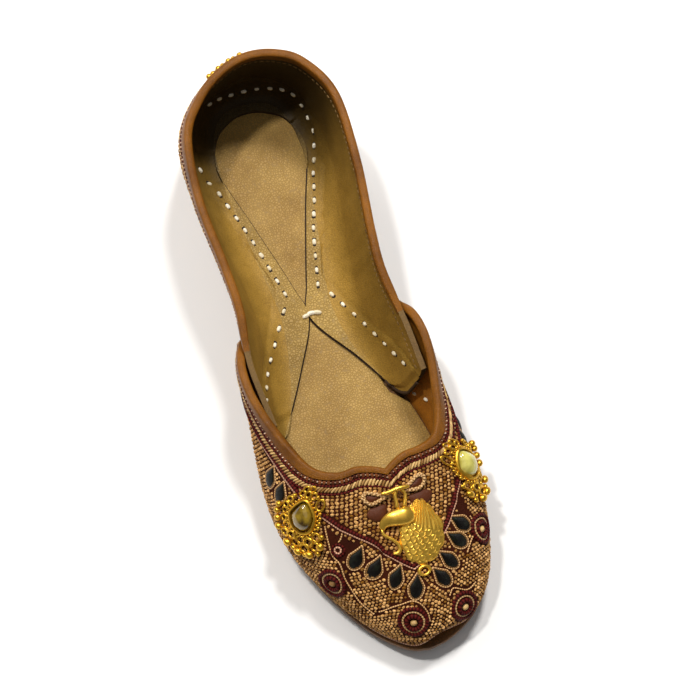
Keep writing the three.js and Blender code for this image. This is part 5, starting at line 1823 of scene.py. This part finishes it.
# Rings and beads of the lateral cluster as (across, up, radius) in mm round the stone's middle.
JEWEL_RINGS = MM * np.array([
    (-1.8, 9.2, 1.3), (1, 9, 1.3), (3.6, 8.2, 1.3), (-0.4, 11.3, 1.2), (2.4, 11, 1.2), (7.2, 4.6, 1.9),
    (-6.4, 5.2, 1.3), (-7.6, 2.4, 1.3), (-7.8, -0.6, 1.3), (-7.4, -3.6, 1.3), (-6, -6.8, 1.5),
    (-3.4, -9, 1.5), (0, -9.6, 1.5), (3.4, -9, 1.5), (6, -6.8, 1.5), (-6.4, -10, 1.6), (-2, -12, 1.6),
    (2, -12.2, 1.6), (5.8, -10.4, 1.6)])
JEWEL_BEADS = MM * np.array([
    (-10.4, 1.2, 1.4), (-10.6, -2, 1.4), (-9.8, -5.2, 1.4), (-8.8, -8.6, 1.45), (-4.4, -13, 1.45),
    (0, -14.2, 1.45), (4.2, -13.4, 1.45), (8.2, -9.4, 1.45), (-2.2, -14.2, 0.95), (2.4, -14.4, 0.95),
    (7.2, -12.2, 0.95), (8.6, -6.2, 0.95), (7.4, 1.6, 0.75), (7.5, 0, 0.75), (7.4, -1.6, 0.75),
    (7, -3.2, 0.75), (-4.6, 8, 0.95), (5.8, 7.6, 0.95)])


def stone_outline(margin, count=STONE_POINTS):
    return drop_outline(STONE_WIDTH + 2 * margin, STONE_LENGTH + 2 * margin, STONE_TAPER, count)


def bezel_mesh():
    """A rim with a rounded lip that leans in over the stone."""
    outside = BEZEL_RIM + CLEARANCE
    lip = [(0.85 * BEZEL_RIM, 0.9), (0.55 * BEZEL_RIM, 1), (0.3 * BEZEL_RIM, 0.94)]
    profile = [(CLEARANCE, 0), (outside, 0), (outside, 0.55), *lip, (CLEARANCE, 0.75)]
    rings = [with_height(stone_outline(margin), CLEARANCE + BEZEL_HEIGHT * rise)
             for margin, rise in profile + profile[:1]]
    return np.vstack(rings), loft_faces(len(rings), STONE_POINTS)


def ball(middle, radius, height, around=14, down=8):
    """A round bead with its middle at a height over the wall."""
    fall = np.linspace(0, np.pi, down + 1)[1:-1, None]
    turn = full_turn(around)[None]
    rings = np.stack([np.sin(fall) * np.cos(turn), np.sin(fall) * np.sin(turn), np.cos(fall) + 0 * turn], -1)
    points = np.vstack([rings.reshape(-1, 3), [(0, 0, 1), (0, 0, -1)]]) * radius
    faces = loft_faces(down - 1, around)
    top, base = len(points) - 2, (down - 2) * around
    for side in range(around):
        beside = (side + 1) % around
        faces += [[top, side, beside], [top + 1, base + beside, base + side]]
    return points + np.array([middle[0], middle[1], height]), faces


def jewel_parts(side):
    """Bezel, rings, beads and grains in flat coordinates, mirrored for the medial side."""
    mirror = np.array([side, 1, 1])
    grains = stone_outline(BEZEL_RIM + JEWEL_GRAIN_GAP, JEWEL_GRAINS)
    parts = [bezel_mesh()]
    for number, (across, up, radius) in enumerate(JEWEL_RINGS * mirror):
        parts.append(wire_ring((across, up), radius, JEWEL_WIRE, CLEARANCE + JEWEL_WIRE * (number % 2)))
    parts += [ball((across, up), radius, CLEARANCE + JEWEL_WIRE + radius)
              for across, up, radius in JEWEL_BEADS * mirror]
    return parts + [ball(spot, JEWEL_GRAIN, CLEARANCE + JEWEL_GRAIN_HEIGHT, around=8, down=6)
                    for spot in grains]


aged_gilt = gilt("aged gilt", (0.76, 0.43, 0.038, 1))
for side, spot, mirror in (("lateral", JEWEL_LATERAL, 1), ("medial", JEWEL_MEDIAL, -1)):
    jewel_mesh = laid_parts(vamp_frames, jewel_parts(mirror), spot)
    keep(mesh_object("jewel_cluster_" + side, *jewel_mesh, aged_gilt), "gilt_metal", "jewel_" + side)

# Stones
# Two domed drops of glass, held by the lips of their bezels: olive gold on the lateral side, pale straw on
# the medial side, with painted reflections as darker and lighter patches in their colour.


def glass_with_painted_reflections(name, deep, bright, **values):
    """Glass whose colour breaks into darker and lighter patches: painted reflections in place of light
    caught in the glass.
    """
    material, tree, shader = new_material(name, **values)
    painted_reflection = ramp(tree, noise(tree, scale=210.0, detail=3.0), 0.35, 0.65)
    tree.links.new(mix_colour(tree, painted_reflection, deep, bright), shader.inputs["Base Color"])
    return material


stone_pad, stone_faces = dome_mesh(stone_outline(0), STONE_DOME, CLEARANCE, rings=16)
olive_glass = glass_with_painted_reflections("olive glass", (0.05, 0.024, 0.001, 1), (0.33, 0.21, 0.014, 1),
                           roughness=0.08, coat_weight=1.0, coat_roughness=0.03)
straw_glass = glass_with_painted_reflections("straw glass", (0.4, 0.34, 0.05, 1), (0.72, 0.66, 0.17, 1),
                           roughness=0.1, coat_weight=1.0, coat_roughness=0.03)
for side, spot, glass in (("lateral", JEWEL_LATERAL, olive_glass), ("medial", JEWEL_MEDIAL, straw_glass)):
    stone = mesh_object("stone_drop_" + side, lay_on_wall(vamp_frames, stone_pad, *spot), stone_faces, glass)
    keep(stone, "stone", "stone_" + side)

# Heel beads
# A short string of hollow gilt brass beads on a wire, bent in a wave and sewn on the outside of the heel,
# over the collar's trim.
HEEL_BEADS_PLACE = (7.38, 0.87)
HEEL_BEAD_COUNT = 7
HEEL_BEAD_PITCH = 2.5 * MM
HEEL_BEAD_WAVE = 0.8 * MM
HEEL_BEAD_RADIUS = 1.25 * MM
HEEL_WIRE = 0.6 * MM


def heel_bead_parts():
    step = np.arange(HEEL_BEAD_COUNT)
    spots = np.column_stack([(step - (HEEL_BEAD_COUNT - 1) / 2) * HEEL_BEAD_PITCH,
                             np.where(step % 2 == 0, HEEL_BEAD_WAVE, -HEEL_BEAD_WAVE)])
    height = CLEARANCE + HEEL_BEAD_RADIUS
    string = tapered_tube(spots, np.full(HEEL_BEAD_COUNT, HEEL_WIRE), height - HEEL_WIRE)
    return [string] + [ball(spot, HEEL_BEAD_RADIUS, height) for spot in spots]


heel_bead_mesh = laid_parts(quarter_frames, heel_bead_parts(), HEEL_BEADS_PLACE)
keep(mesh_object("heel_bead_string", *heel_bead_mesh, aged_gilt), "gilt_metal", "heel_beads")

# Floor, light and camera
# A plain pale floor, two lamps above and behind the heel, two broad soft ones, and a camera that looks down
# on the shoe from over its toe.
floor_material, _, floor_shader = new_material("pale floor", roughness=0.7)
floor_shader.inputs["Base Color"].default_value = (0.95, 0.95, 0.95, 1)
FLOOR_HALF = 4.0
floor_corners = [(x * FLOOR_HALF, y * FLOOR_HALF, 0) for x, y in ((-1, -1), (1, -1), (1, 1), (-1, 1))]
floor = mesh_object("floor", floor_corners, [(0, 1, 2, 3)], floor_material)


SHOE_MIDDLE = Vector((0, 0, 0.03))


def area_lamp(name, place, size, power, colour):
    """A round lamp that points at the middle of the shoe."""
    lamp = bpy.data.lights.new(name, "AREA")
    lamp.shape = "DISK"
    lamp.size = size
    lamp.energy = power
    lamp.color = colour
    made = bpy.data.objects.new(name, lamp)
    made.location = place
    made.rotation_euler = (SHOE_MIDDLE - Vector(place)).to_track_quat("-Z", "Y").to_euler()
    bpy.context.scene.collection.objects.link(made)


area_lamp("lamp above lateral", (-0.27, 0.31, 1.128), size=0.1, power=6.6, colour=(1, 0.97, 0.93))
area_lamp("lamp behind medial", (0.277, 0.48, 1.064), size=0.2, power=9.5, colour=(1, 0.98, 0.95))
area_lamp("soft lamp behind lateral", (-0.45, 0.75, 0.95), size=0.7, power=4.5, colour=(1, 0.97, 0.93))
area_lamp("soft lamp above", (0.0, -0.3, 1.6), size=1.4, power=2.2, colour=(1, 1, 1))
world = bpy.data.worlds.new("studio white")
world.use_nodes = True
sky = world.node_tree.nodes["Background"]
sky.inputs["Color"].default_value = (1, 1, 1, 1)
sky.inputs["Strength"].default_value = 0.1
bpy.context.scene.world = world
bpy.context.scene.view_settings.view_transform = "Standard"

CAMERA_AZIMUTH = math.radians(-23.78)
CAMERA_ELEVATION = math.radians(71.66)
CAMERA_ROLL = math.radians(7.35)
CAMERA_TARGET = (0.0052, -0.0057, 0.03)
CAMERA_DISTANCE = 0.816
CAMERA_LENS = 106.8
CAMERA_SENSOR = 36
level = math.cos(CAMERA_ELEVATION)
backward = Vector((level * math.sin(CAMERA_AZIMUTH), -level * math.cos(CAMERA_AZIMUTH),
                   math.sin(CAMERA_ELEVATION)))
camera = bpy.data.objects.new("camera", bpy.data.cameras.new("camera"))
camera.location = Vector(CAMERA_TARGET) + CAMERA_DISTANCE * backward
camera.rotation_mode = "QUATERNION"
camera.rotation_quaternion = backward.to_track_quat("Z", "Y") @ Quaternion((0, 0, 1), CAMERA_ROLL)
camera.data.lens = CAMERA_LENS
camera.data.sensor_width = CAMERA_SENSOR
bpy.context.scene.collection.objects.link(camera)
bpy.context.scene.camera = camera

# Copied shapes
# The two pads that the stitches were copied from go first, so that the box holds the shoe alone.
for shape in (LONG_PAD, BEAD_PAD):
    bpy.data.objects.remove(shape)
